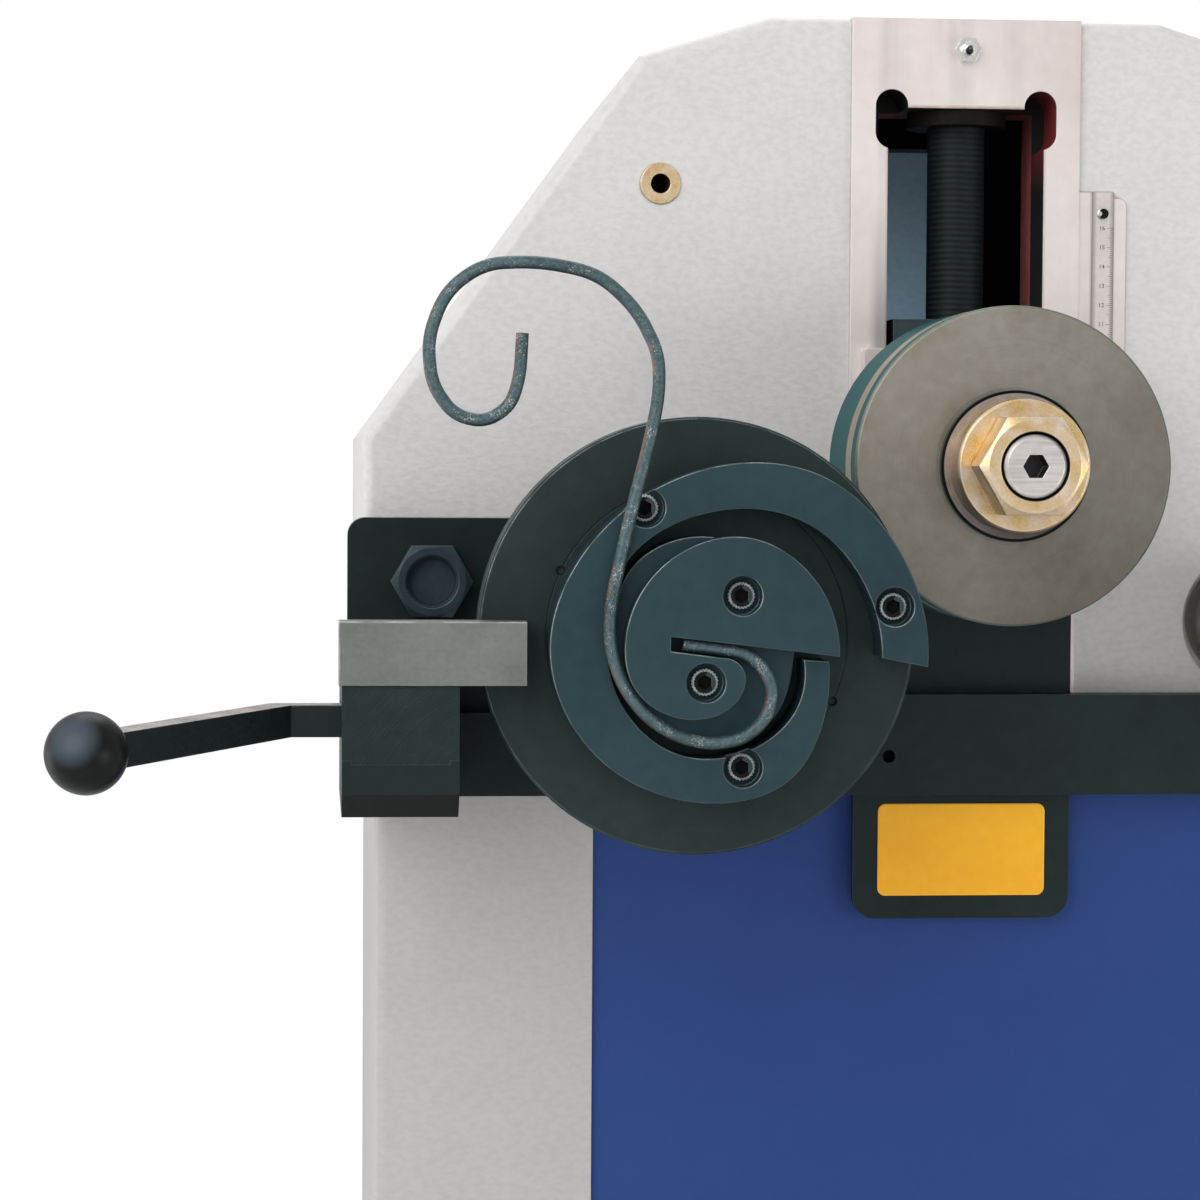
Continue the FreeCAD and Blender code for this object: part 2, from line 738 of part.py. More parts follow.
def slide_frame():
    """The ground guide of the upper slide: a slot with relieved corners, and a margin for the ruler."""
    half = "slide_half_width"
    outline = [(f"-{half}", PEDESTAL_TOP), (half, PEDESTAL_TOP), (half, level("top_rise")),
               (f"-{half}", level("top_rise"))]
    body = plate("slide_plate", outline, Y_SLIDE, Y_FRAME)
    pocket(body, draw(body, slot_outline(), lift=f"-{Y_FRAME}"), "slide_thickness", backward=True)
    low, high = f"{Y_SLIDE} - 1", f"{Y_FRAME} + 1"
    reliefs = []
    for side in ("-", ""):
        spot = f"{side}(slot_half_width - 2)"
        low_end, high_end = level("slot_top - relief_length + relief_radius"), level("slot_top + 1")
        reliefs += [rod("y", "relief_radius", (spot, end), low, high) for end in (low_end, high_end)]
        ends = ("slot_half_width - 2", "slot_half_width - 2 + relief_radius")
        if side == "-":
            ends = tuple(f"-({end})" for end in reversed(ends))
        reliefs.append(block(ends, (low, high), (low_end, high_end)))
    beside = margin("ruler_margin", half, f"{Y_SLIDE} + scale_step", Y_FRAME, "0")
    bore = rod("z", "nut_radius", ("0", Y_SPINDLE), level("slot_top - 1"), level("top_rise + 1"))
    seat = rod("y", "nipple_radius", ("0", level("nipple_rise")), f"{Y_SLIDE} - 1", Y_SPINDLE)
    node(cut(join(body, beside), bore, seat, *reliefs), "slide_frame")

    left = "slide_half_width + scale_inset"
    node(block((left, f"{left} + scale_width"), (Y_SLIDE, f"{Y_SLIDE} + scale_step"),
               (f"{level('scale_rise')} - scale_length", level("scale_rise"))), "height_scale")


def grease_nipple():
    """A hexagon with a dimpled ball head, screwed into the cross-piece above the nut."""
    spot = ("0", level("nipple_rise"))
    neck = turned("nipple_neck", [
        ("0", f"{Y_SLIDE} - 7"), ("1.8", f"{Y_SLIDE} - 9"), ("3.8", f"{Y_SLIDE} - 7.5"),
        ("nipple_radius", f"{Y_SLIDE} - 4"), ("nipple_radius", f"{Y_SLIDE} + 6"), ("0", f"{Y_SLIDE} + 6"),
    ], *spot)
    node(join(neck, hexagon("nipple_across", spot, f"{Y_SLIDE} - 4", Y_SLIDE)), "grease_nipple")


def spindle_and_nut():
    spot = ("0", Y_SPINDLE)
    flange = rod("z", "nut_flange", spot, level("slot_top - nut_flange_height"), level("slot_top"))
    sleeve = rod("z", "nut_radius", spot, level("slot_top - nut_flange_height"),
                 level("spindle_top - square_length"))
    bore = rod("z", "spindle_radius + running_clearance", spot, level("slot_top - nut_flange_height - 1"),
               level("spindle_top"))
    node(cut(join(flange, sleeve), bore), "spindle_nut")

    collar_low = "carriage_rise + moving_clearance"
    collar = rod("z", "spindle_collar - moving_clearance", spot, level(collar_low),
                 level("carriage_rise + collar_height"))
    screw = rod("z", "spindle_radius", spot, level(collar_low), level("spindle_top - square_length"))
    pilot = rod("z", "pilot_radius", spot, level("carriage_rise - pilot_depth"), level(collar_low))
    square = block(("-square_side / 2", "square_side / 2"),
                   (f"{Y_SPINDLE} - square_side / 2", f"{Y_SPINDLE} + square_side / 2"),
                   (level("spindle_top - square_length"), level("spindle_top")))
    node(join(collar, screw, pilot, square), "spindle")

    cap = block(("cap_inset - slot_half_width", "slot_half_width - cap_inset"),
                (f"{Y_SPINDLE} - nut_flange", f"{Y_SPINDLE} + nut_flange"),
                (level("carriage_rise"), level("carriage_rise + cap_height")))
    room = rod("z", "spindle_collar", spot, level("carriage_rise - 1"),
               level("carriage_rise + collar_height + moving_clearance"))
    hole = rod("z", "spindle_radius + moving_clearance", spot, level("carriage_rise"),
               level("carriage_rise + cap_height + 1"))
    node(cut(cap, room, hole), "thrust_cap")


def carriage():
    """The front block runs in the slot and carries the keeper; the rear block hangs on a tube behind it."""
    half = "(slot_half_width - slide_clearance)"
    low, high = level("-carriage_drop"), level("carriage_rise")
    outline = [(f"-{half}", low), (half, low), (half, high), (f"-{half}", high)]
    front = plate("carriage_plate", outline, Y_KEEPER_BACK, f"{Y_FRAME_BACK} + slide_clearance",
                  [("0", UPPER, "bearing_radius")])
    pilot = rod("z", "pilot_radius + moving_clearance", ("0", Y_SPINDLE),
                level("carriage_rise - pilot_depth - 1"), level("carriage_rise + 1"))
    node(cut(front, pilot), "carriage_block")

    edge = "keeper_half_width"
    top = [(f"-{edge}", low), (edge, low), (edge, level("keeper_rise")), (f"-{edge}", level("keeper_rise"))]
    bore = ("0", UPPER, "shaft_radius + moving_clearance")
    keeper = plate("keeper_plate", top, Y_KEEPER, Y_KEEPER_BACK, [bore])
    soften(keeper, "Chamfer", "edge_bevel", upright(top))
    node(keeper, "keeper_plate")

    front_end = f"({Y_FRAME_BACK} + slide_clearance)"
    rear_end = f"({Y_REAR_BACK} + slide_clearance)"
    flange = block((f"-{edge}", edge), (front_end, f"{front_end} + keeper_thickness"), (low, high))
    tube = rod("y", "link_radius", MIDDLE, front_end, Y_REAR)
    rear = block((f"-{half}", half), (f"{Y_REAR} - slide_clearance", rear_end), (low, high))
    hollow = rod("y", "link_bore", MIDDLE, f"{front_end} - 1", Y_REAR)
    seat = rod("y", "bearing_radius", MIDDLE, Y_REAR, f"{rear_end} + 1")
    node(cut(join(flange, tube, rear), hollow, seat), "rear_slide_block")

    bore = "shaft_radius + running_clearance"
    node(group(ring("bearing_radius", bore, MIDDLE, Y_KEEPER_BACK, Y_FRAME_BACK),
               ring("bearing_radius", bore, MIDDLE, Y_REAR, rear_end)), "upper_bearings")


def upper_roll():
    """Shaft, three roll rings, washer, collar and nut."""
    end = "thread_radius"
    bevel = "edge_bevel"
    shaft = turned("upper_shaft_turned", [
        ("0", Y_SHAFT_END), (f"{end} - {bevel}", Y_SHAFT_END), (end, f"{Y_SHAFT_END} + {bevel}"), (end, Y_ROLL),
        ("shaft_radius", Y_ROLL), ("shaft_radius", Y_ROLL_BACK), ("shoulder_radius", Y_ROLL_BACK),
        ("shoulder_radius", f"{Y_KEEPER} - moving_clearance"),
        ("shaft_radius", f"{Y_KEEPER} - moving_clearance"), ("shaft_radius", f"{Y_REAR_BACK} + gear_gap"),
        ("0", f"{Y_REAR_BACK} + gear_gap"),
    ], *MIDDLE)
    socket = hexagon("socket_radius * 2", MIDDLE, f"{Y_SHAFT_END} - 1", f"{Y_SHAFT_END} + socket_depth")
    node(cut(shaft, socket), "upper_shaft")

    def roll(name, front, back):
        rim, bevel = "roll_radius", "roll_chamfer"
        return turned(name, [
            ("shaft_radius", front), (f"{rim} - {bevel}", front), (rim, f"{front} + {bevel}"),
            (rim, f"{back} - {bevel} / 2"), (f"{rim} - {bevel} / 2", back), ("shaft_radius", back),
        ], *MIDDLE)
    node(group(roll("roll_back_ring", Y_ROLL_STEP, Y_ROLL_BACK), roll("roll_face_ring", Y_ROLL, Y_ROLL_STEP2)),
         "roll_flanges")
    node(roll("roll_middle", Y_ROLL_STEP2, Y_ROLL_STEP), "roll_middle")
    node(ring("washer_radius", end, MIDDLE, Y_WASHER, Y_ROLL), "retaining_washer")
    collar = turned("spacer_collar", [
        (end, Y_COLLAR), ("collar_radius - 1", Y_COLLAR), ("collar_radius", f"{Y_COLLAR} + 1"),
        ("collar_radius", Y_WASHER), (end, Y_WASHER),
    ], *MIDDLE)
    node(collar, "spacer_collar")
    node(nut("upper_nut", "nut_across", end, "nut_length", MIDDLE, Y_NUT), "upper_nut")


# ---------------------------------------------------------------- lower shafts and drive

def lower_shaft(name, spot, front):
    bevel = "edge_bevel"
    back = f"{Y_GEAR_BACK} + shaft_overhang"
    step = f"{Y_FRAME} - bearing_cover_thickness - moving_clearance"
    return turned(name, [
        ("0", front), (f"thread_radius - {bevel}", front), ("thread_radius", f"{front} + {bevel}"),
        ("thread_radius", Y_ROLL), ("shaft_radius", Y_ROLL), ("shaft_radius", Y_ROLL_BACK),
        ("shoulder_radius", Y_ROLL_BACK), ("shoulder_radius", step), ("shaft_radius", step),
        ("shaft_radius", back), ("0", back),
    ], *spot)


def lower_shafts():
    node(lower_shaft("lower_left_shaft", LEFT, f"({Y_DISC} + 2)"), "lower_left_shaft")
    shaft = lower_shaft("right_shaft_turned", RIGHT, Y_SHAFT_END)
    keyway = block(("axis_spread - key_width / 2", "axis_spread + key_width / 2"),
                   (f"{Y_ROLL} + key_margin", f"{Y_ROLL} + key_margin + key_length"),
                   ("axis_height + shaft_radius - key_depth", "axis_height + shaft_radius + 1"))
    node(cut(shaft, keyway), "lower_right_shaft")

    bore = "shaft_radius + running_clearance"
    rings = [ring("lower_bearing_radius", bore, spot, low, high) for spot in (LEFT, RIGHT)
             for low, high in ((Y_FRAME, Y_FRAME_BACK), (Y_REAR, Y_REAR_BACK))]
    node(group(*rings), "lower_bearings")
    covers = [ring("bearing_cover_radius", "shaft_radius + moving_clearance", spot,
                   f"{Y_FRAME} - bearing_cover_thickness", Y_FRAME) for spot in (LEFT, RIGHT)]
    node(group(*covers), "bearing_covers")


def involute_gear(teeth, module, thickness, bore, phase, spot, front):
    """A spur gear as a wire of involute flanks, thinned by half the backlash, with one tooth at the phase."""
    pressure = math.radians(20)
    pitch = module * teeth / 2
    base = pitch * math.cos(pressure)
    tip = pitch + module
    root = pitch - 1.25 * module
    play = amount("backlash") / 4 / pitch
    half = math.pi / 2 / teeth + math.tan(pressure) - pressure - play
    start = max(base, root)
    points = []
    for tooth in range(teeth):
        middle = phase + 2 * math.pi * tooth / teeth
        flank = []
        for step in range(4):
            radius = start + (tip - start) * step / 3
            swing = math.sqrt(max((radius / base) ** 2 - 1, 0))
            flank.append((radius, half - swing + math.atan(swing)))
        foot = [(root, flank[0][1] + 0.15 * math.pi / teeth)]
        rising = foot + flank if root < base else flank
        points += [(radius, middle - angle) for radius, angle in rising]
        points += [(radius, middle + angle) for radius, angle in reversed(rising)]
    corners = [FreeCAD.Vector(radius * math.cos(angle), 0, radius * math.sin(angle))
               for radius, angle in points]
    face = Part.Face(Part.makePolygon(corners + corners[:1]))
    solid = face.extrude(FreeCAD.Vector(0, thickness, 0))
    hole = Part.makeCylinder(bore, thickness, FreeCAD.Vector(), FreeCAD.Vector(0, 1, 0))
    gear = doc.addObject("Part::Feature", "Gear")
    gear.Shape = solid.cut(hole)
    gear.Placement = FreeCAD.Placement(FreeCAD.Vector(amount(spot[0]), amount(front), amount(spot[1])),
                                       FreeCAD.Rotation())
    return gear


def drive():
    """Two equal gears on the lower shafts, turned by one pinion that meshes with both from below."""
    teeth, small = round(amount("gear_teeth")), round(amount("pinion_teeth"))
    centres = amount("axis_spread / cos(mesh_angle * 1 deg)")
    module = 2 * centres / (teeth + small)
    lean = math.radians(amount("mesh_angle"))
    width, bore = amount("gear_width"), amount("shaft_radius")
    half_pitch = math.pi / small

    # The left gear has a tooth on the line of centres, and the pinion a gap.
    node(involute_gear(teeth, module, width, bore, -lean, LEFT, Y_GEAR), "lower_left_gear")
    pinion_phase = math.pi - lean + half_pitch
    # How far the pinion's nearest tooth stands from its line to the right gear sets that gear's gap.
    off = math.remainder(pinion_phase - lean, 2 * half_pitch)
    right_phase = math.pi + lean - off * small / teeth + math.pi / teeth
    node(involute_gear(teeth, module, width, bore, right_phase, RIGHT, Y_GEAR), "lower_right_gear")

    spot = ("0", PINION_LEVEL)
    toothed = involute_gear(small, module, width, amount("pinion_shaft_radius"), pinion_phase, spot, Y_GEAR)
    shaft = rod("y", "pinion_shaft_radius", spot, f"{Y_REAR} + 1", f"{GEARBOX_FRONT} + gearbox_bore_depth")
    node(join(toothed, shaft), "drive_pinion")


def gearbox_and_motor():
    """A worm gearbox on two arms from the rear frame plate, its motor hanging below."""
    half = ("-gearbox_half_width", "gearbox_half_width")
    base = f"({PINION_LEVEL} - gearbox_half_height - gearbox_sump)"
    top = f"({base} - shelf_thickness)"
    case = block(half, (GEARBOX_FRONT, GEARBOX_BACK), (base, f"{PINION_LEVEL} + gearbox_half_height"))
    shelf = block(half, (Y_REAR_BACK, GEARBOX_BACK), (top, base))
    foot = block(half, (Y_REAR_BACK, f"{Y_REAR_BACK} + foot_thickness"), (f"{top} - foot_drop", base))
    bore = rod("y", "pinion_shaft_radius + running_clearance", ("0", PINION_LEVEL), f"{GEARBOX_FRONT} - 1",
               f"{GEARBOX_FRONT} + gearbox_bore_depth + 1")
    node(cut(join(case, shelf, foot), bore), "gearbox")

    spot = ("0", f"({GEARBOX_FRONT} + {GEARBOX_BACK}) / 2 - motor_offset")
    flange = rod("z", f"{MOTOR_RADIUS} + motor_flange_proud", spot, f"{top} - motor_flange_height", top)
    barrel = rod("z", MOTOR_RADIUS, spot, f"{top} - motor_length", f"{top} - motor_flange_height")
    fins = []
    for index in range(round(amount("fin_count"))):
        high = f"{top} - fin_start - {index} * fin_pitch"
        fins.append(rod("z", f"{MOTOR_RADIUS} + fin_proud", spot, f"{high} - fin_height", high))
    node(join(flange, barrel, *fins), "motor")


# ---------------------------------------------------------------- scroll attachment

# The scroll pieces' outlines are smooth curves through points (angle in degrees, distance in scroll units)
# about the shaft.
SEGMENT_OUTER = ((-7, 106.6), (21, 101.5), (55, 93.6), (91, 78.4), (141, 68.6), (184, 71.5), (225, 73.6),
                 (269, 76.4), (302, 77.6), (334, 65.3), (350, 60.1))
SEGMENT_INNER = ((348.4, 48.3), (307, 56.2), (259, 55), (210, 47.4), (180, 45), (137, 50.2), (92, 57.6),
                 (47, 72.7), (10, 81.6), (-6, 84.5))
MIDDLE_OUTLINE = ((0, 44), (45, 46), (90, 47.5), (140, 46), (180, 40), (210, 42.5), (235, 46.5), (262, 50),
                  (290, 51.3), (315, 50), (340, 45))
FORMER_OUTLINE = ((-7, 63.3), (0, 62.4), (21, 59.4), (67, 51.4), (114, 40.5), (173, 36.7), (215, 39.7),
                  (259, 37.6), (302, 31), (322, 23), (325, 17), (316.6, 12.25))
SLOT_END = ((-16, -5.3), (-16, 1.5))
SEGMENT_SCREWS = ((114.1, 66.5), (9.5, 91.2), (-72.4, 63.1))
FORMER_SCREWS = ((49.7, 26.7), (-88.8, 19.9))


def polar(angle, distance):
    """A point about the left shaft's axis, seen from the front."""
    turn = math.radians(angle)
    reach = distance * amount("scroll_unit")
    return FreeCAD.Vector(reach * math.cos(turn), 0, reach * math.sin(turn))


def curve(points, closed=False):
    spline = Part.BSplineCurve()
    spline.interpolate(Points=points, PeriodicFlag=closed)
    return spline.toShape()


def slab(edges, front, back):
    """A solid between two depths from a closed outline about the left shaft."""
    face = Part.Face(Part.Wire(edges))
    piece = doc.addObject("Part::Feature", "Slab")
    piece.Shape = face.extrude(FreeCAD.Vector(0, amount(back) - amount(front), 0))
    piece.Placement = FreeCAD.Placement(
        FreeCAD.Vector(amount(LEFT[0]), amount(front), amount(LEFT[1])), FreeCAD.Rotation())
    return piece


def around(spot):
    """The place of a screw of the scroll attachment, as expressions."""
    angle, distance = spot
    reach = f"{distance} * scroll_unit"
    return (f"-axis_spread + {reach} * cos({angle} deg)", f"axis_height + {reach} * sin({angle} deg)")


def screw_room(spots, front):
    """The counterbores of a piece's screws, and the holes below them."""
    rooms = []
    for spot in spots:
        rooms.append(rod("y", "counterbore_radius", around(spot), f"{front} - 1",
                         f"{front} + counterbore_depth"))
        rooms.append(rod("y", "screw_radius", around(spot), front, f"{Y_DISC} + 1"))
    return rooms


def screw(spot, front, back):
    """A socket-head screw whose head rests on the floor of its counterbore."""
    seat = f"{front} + counterbore_depth"
    head = rod("y", "screw_head_radius", spot, f"{seat} - screw_radius * 2", seat)
    shank = rod("y", "screw_radius", spot, seat, back)
    key = hexagon("screw_radius * 1.5", spot, f"{seat} - screw_radius * 2 - 1", f"{seat} - screw_radius")
    return cut(join(head, shank), key)


def scroll_stack():
    depth = f"{Y_DISC} + screw_depth"
    hub = turned("scroll_hub_turned", [
        ("thread_radius", Y_DISC), ("hub_radius", Y_DISC), ("hub_radius", Y_DISC_BACK),
        ("hub_back_radius", Y_DISC_BACK), ("hub_back_radius", f"{Y_DISC_BACK} + hub_back_thickness"),
        ("hub_sleeve_radius", f"{Y_DISC_BACK} + hub_back_thickness"), ("hub_sleeve_radius", Y_ROLL_BACK),
        ("shaft_radius", Y_ROLL_BACK), ("shaft_radius", Y_ROLL), ("thread_radius", Y_ROLL),
    ], *LEFT)
    disc = turned("scroll_disc_turned", [
        ("hub_radius", Y_DISC), ("disc_radius - 1", Y_DISC), ("disc_radius", f"{Y_DISC} + 1"),
        ("disc_radius", f"{Y_DISC_BACK} - 1"), ("disc_radius - 1", Y_DISC_BACK), ("hub_radius", Y_DISC_BACK),
    ], *LEFT)

    dowels, dowel_holes = [], []
    for turn in ("0", "180"):
        spot = (f"-axis_spread + hub_radius * cos((dowel_angle + {turn}) * 1 deg)",
                f"axis_height + hub_radius * sin((dowel_angle + {turn}) * 1 deg)")
        dowels.append(rod("y", "dowel_radius", spot, f"{Y_DISC} + dowel_recess", Y_DISC_BACK))
        dowel_holes.append(rod("y", "dowel_radius", spot, f"{Y_DISC} - 1", Y_DISC_BACK))
    node(group(*dowels), "disc_pins")

    in_disc = [rod("y", "screw_radius", around(spot), f"{Y_DISC} - 1", depth) for spot in SEGMENT_SCREWS]
    in_hub = [rod("y", "screw_radius", around(spot), f"{Y_DISC} - 1", depth)
              for spot in SEGMENT_SCREWS + FORMER_SCREWS]
    node(cut(disc, *in_disc, *dowel_holes), "scroll_disc")
    node(cut(hub, *in_hub, *dowel_holes), "scroll_hub")

    outer = [polar(*point) for point in SEGMENT_OUTER]
    inner = [polar(*point) for point in SEGMENT_INNER]
    edges = [curve(outer), Part.LineSegment(outer[-1], inner[0]).toShape(), curve(inner),
             Part.LineSegment(inner[-1], outer[0]).toShape()]
    segment = slab(edges, Y_SEGMENT, Y_DISC)
    node(cut(segment, *screw_room(SEGMENT_SCREWS, Y_SEGMENT)), "spiral_segment")

    rim = curve([polar(*point) for point in MIDDLE_OUTLINE], closed=True)
    middle = slab([rim], Y_MIDDLE, Y_DISC)
    holes = [rod("y", "screw_radius", around(spot), f"{Y_MIDDLE} - 1", f"{Y_DISC} + 1")
             for spot in FORMER_SCREWS]
    node(cut(middle, *holes), "middle_plate")

    back = [polar(*point) for point in FORMER_OUTLINE]
    low, high = (FreeCAD.Vector(x, 0, z) * amount("scroll_unit") for x, z in SLOT_END)
    edges = [curve(back), Part.LineSegment(back[-1], low).toShape(), Part.LineSegment(low, high).toShape(),
             Part.LineSegment(high, back[0]).toShape()]
    former = slab(edges, Y_FORMER, Y_MIDDLE)
    node(cut(former, *screw_room(FORMER_SCREWS, Y_FORMER)), "centre_former")

    screws = [screw(around(spot), Y_SEGMENT, depth) for spot in SEGMENT_SCREWS]
    screws += [screw(around(spot), Y_FORMER, depth) for spot in FORMER_SCREWS]
    node(group(*screws), "former_screws")


# The bent bar's course about the left shaft, as corners (X, Z) that are then rounded.
BAR_COURSE = ((-9.8, -2.62), (6, -4.46), (19.5, -6.5), (28.8, -13.8), (32.8, -25.2), (28.6, -38), (18.6, -46.2),
              (5, -48.8), (-11, -46), (-27, -36.2), (-38.5, -20.5), (-44, -2.5), (-43.8, 14.5), (-38.6, 40),
              (-32, 68), (-25.5, 93), (-21.6, 114), (-22, 132), (-32, 152), (-50, 168.5), (-77, 173.8),
              (-103, 172.6), (-120.5, 159.5), (-128.6, 138), (-126.5, 117), (-116.5, 103.2), (-102.2, 99.8),
              (-90.2, 107.4), (-86, 121.5), (-85, 140.9))


def scroll_bar():
    """A round bar bent into an S: a polygon whose corners are rounded as far as their runs allow."""
    points = [FreeCAD.Vector(x, 0, z) * amount("scroll_unit") for x, z in BAR_COURSE]
    edges = []
    last = points[0]
    for before, corner, after in zip(points, points[1:], points[2:]):
        to_before = (before - corner).normalize()
        to_after = (after - corner).normalize()
        turn = math.pi - to_before.getAngle(to_after)
        reach = 0.45 * min((before - corner).Length, (after - corner).Length)
        radius = reach / math.tan(turn / 2)
        inward = (to_before + to_after).normalize()
        middle = corner + inward * (radius / math.cos(turn / 2) - radius)
        start, end = corner + to_before * reach, corner + to_after * reach
        edges.append(Part.LineSegment(last, start).toShape())
        edges.append(Part.Arc(start, middle, end).toShape())
        last = end
    edges.append(Part.LineSegment(last, points[-1]).toShape())
    path = Part.Wire(edges)
    ahead = (points[1] - points[0]).normalize()
    mouth = Part.Wire(Part.makeCircle(amount("bar_radius"), points[0], ahead))
    bar = doc.addObject("Part::Feature", "Bar")
    bar.Shape = path.makePipeShell([mouth], True, False)
    bar.Placement = FreeCAD.Placement(
        FreeCAD.Vector(amount(LEFT[0]), amount(Y_BAR), amount(LEFT[1])), FreeCAD.Rotation())
    node(bar, "scroll_bar")


# ---------------------------------------------------------------- bracket and clamp holder

def guard():
    low, high = level("-guard_bottom"), level("-guard_top")
    outline = [("-guard_half_width", low), ("guard_half_width", low), ("guard_half_width", high),
               ("-guard_half_width", high)]
    body = plate("guard_blank", outline, Y_GUARD, Y_SLIDE)
    soften(body, "Fillet", "guard_corner", upright(outline[:2]))
    spots = [(f"{side}guard_screw_offset", level("-guard_screw_level")) for side in ("-", "")]
    sinks = [flat_head(f"countersink_{index}", spot) for index, spot in enumerate(spots)]
    node(cut(body, *sinks), "guard_plate")

    screws = []
    for index, spot in enumerate(spots):
        socket = hexagon("guard_socket", spot, f"{Y_GUARD} - 1", f"{Y_GUARD} + guard_socket / 2")
        screws.append(cut(flat_head(f"flat_head_{index}", spot), socket))
    node(group(*screws), "bracket_screws")


def flat_head(name, spot):
    """The form of a countersunk screw, flush with the guard plate under the bracket's band."""
    slope = "guard_head_radius - guard_screw_radius"
    neck = f"{Y_GUARD} + {slope}"
    return turned(name, [("0", Y_GUARD), ("guard_head_radius", Y_GUARD), ("guard_screw_radius", neck),
                         ("guard_screw_radius", Y_SLIDE), ("0", Y_SLIDE)], *spot)


def bracket():
    """The black plate: a high block on the left for the big stud and the holder, and a band to the right."""
    bottom, band = level("-bracket_bottom"), level("-bracket_band")
    left, step, top = f"-{BRACKET_LEFT}", f"-{BRACKET_STEP}", level("-bracket_top")
    outline = [(left, bottom), ("bracket_right", bottom), ("bracket_right", band), (step, band), (step, top),
               (left, top)]
    studs = [(f"-{STUD_LEFT}", level("-stud_level")), ("stud_right", level("-stud_right_level"))]
    holes = [(*spot, "stud_radius") for spot in studs]
    holes.append(("-tapped_offset", level("-tapped_level"), "tapped_radius"))
    body = plate("bracket_plate", outline, Y_BRACKET, Y_GUARD, holes)
    soften(body, "Fillet", "bracket_corner", upright([outline[1], outline[2], outline[4], outline[5]]))
    node(body, "bracket_plate")

    face = f"{Y_BRACKET} - stud_nut_length"
    bolts = []
    for x, z in studs:
        thin = rod("y", "stud_radius", (x, z), f"{face} + stud_recess", Y_FRAME)
        thick = rod("y", "stud_collar", (x, z), Y_GUARD, Y_FRAME)
        bolts.append(join(thin, thick))
    node(group(*bolts), "bracket_studs")
    node(group(*[nut(f"stud_nut_{index}", "stud_across", "stud_radius", "stud_nut_length", spot, face)
                 for index, spot in enumerate(studs)]), "bracket_nuts")

    rail = block((left + " + 1", step + " - 1"), (Y_RAIL, Y_BRACKET), (bottom + " + 1", level("-rail_top")))
    node(rail, "guide_rail")


def holder():
    """The carrier block and, tongued into it, the support block with the lever's pocket."""
    span = (f"-{HOLDER_LEFT}", f"-{HOLDER_RIGHT}")
    pivot = (f"-{LEVER_PIVOT}", "-lever_setback")
    front, back = "-holder_front", Y_RAIL
    carrier = flat_side_plate("carrier_side", [
        (front, level("-joint_level")), (back, level("-joint_level")), (back, level("-holder_bottom")),
        (f"{front} + holder_chamfer", level("-holder_bottom")),
        (front, level("-holder_bottom + holder_chamfer")),
    ], *span)
    groove = block((f"{span[0]} + tongue_ear", f"{span[1]} - tongue_ear"), (f"{front} - 1", f"{back} + 1"),
                   (level("-joint_level - tongue_depth"), level("-joint_level + 1")))
    node(cut(carrier, groove), "carrier_block")

    step = "(-press_front + press_depth + moving_clearance)"
    under = "-holder_top - slide_clearance"
    body = flat_side_plate("support_side", [
        (front, level("-joint_level")), (front, level(under)), (step, level(under)),
        (step, level("-shoulder_level")), (back, level("-shoulder_level")), (back, level("-joint_level")),
    ], *span)
    tongue = block((f"{span[0]} + tongue_ear", f"{span[1]} - tongue_ear"), (front, back),
                   (level("-joint_level - tongue_depth"), level("-joint_level")))
    gap = "lever_side / 2 + moving_clearance"
    low, high = level(f"-lever_level - ({gap})"), level(f"-lever_level + {gap}")
    hub = rod("z", "lever_hub_radius + moving_clearance", pivot, low, high)
    mouth = block((f"{span[0]} - 1", pivot[0]),
                  (f"-lever_setback - ({gap})", "-lever_setback + pivot_inset + lever_side"), (low, high))
    crank = block((f"{pivot[0]} - crank_travel - crank_radius - 2", f"{pivot[0]} + crank_radius + 1"),
                  ("-lever_setback - crank_throw - crank_radius - 1", "-lever_setback - crank_throw + 10"),
                  (level("-lever_level"), level("-holder_top + 1")))
    foot, crown = level("-joint_level - tongue_depth"), level("-shoulder_level - 4")
    shaft = rod("z", "pin_radius", pivot, foot + " - 1", crown)
    node(cut(join(body, tongue), hub, mouth, crank, shaft), "support_block")
    node(rod("z", "pin_radius", pivot, foot, crown), "lever_pin")


def flat_side_plate(name, outline, low, high):
    """A piece drawn from its side as (Y, Z) points and extruded along X."""
    body = doc.addObject("PartDesign::Body", name)
    body.Placement = FreeCAD.Placement(FreeCAD.Vector(), FreeCAD.Rotation(FreeCAD.Vector(1, 1, 1), 120))
    place(body, low, "0", "0")
    pad(body, draw(body, outline), f"({high}) - ({low})")
    return body


def pressure_bar():
    """A square bar on the support block; the lever's crank pin drives it from a cross slot below."""
    low, high = level("-holder_top"), level("-holder_top + press_height")
    back = "-press_front + press_depth"
    corners = (f"-{PRESS_LEFT}", f"-{PRESS_RIGHT}"), ("-press_front", back), (low, high)
    slot = block((f"-{LEVER_PIVOT} - crank_radius - 1", f"-{LEVER_PIVOT} + crank_radius + 1"),
                 ("-lever_setback - crank_throw - crank_radius - 1", back + " + 1"),
                 (level("-holder_top - 1"), level("-holder_top + 8")))
    node(cut(block(*corners), slot), "pressure_bar")


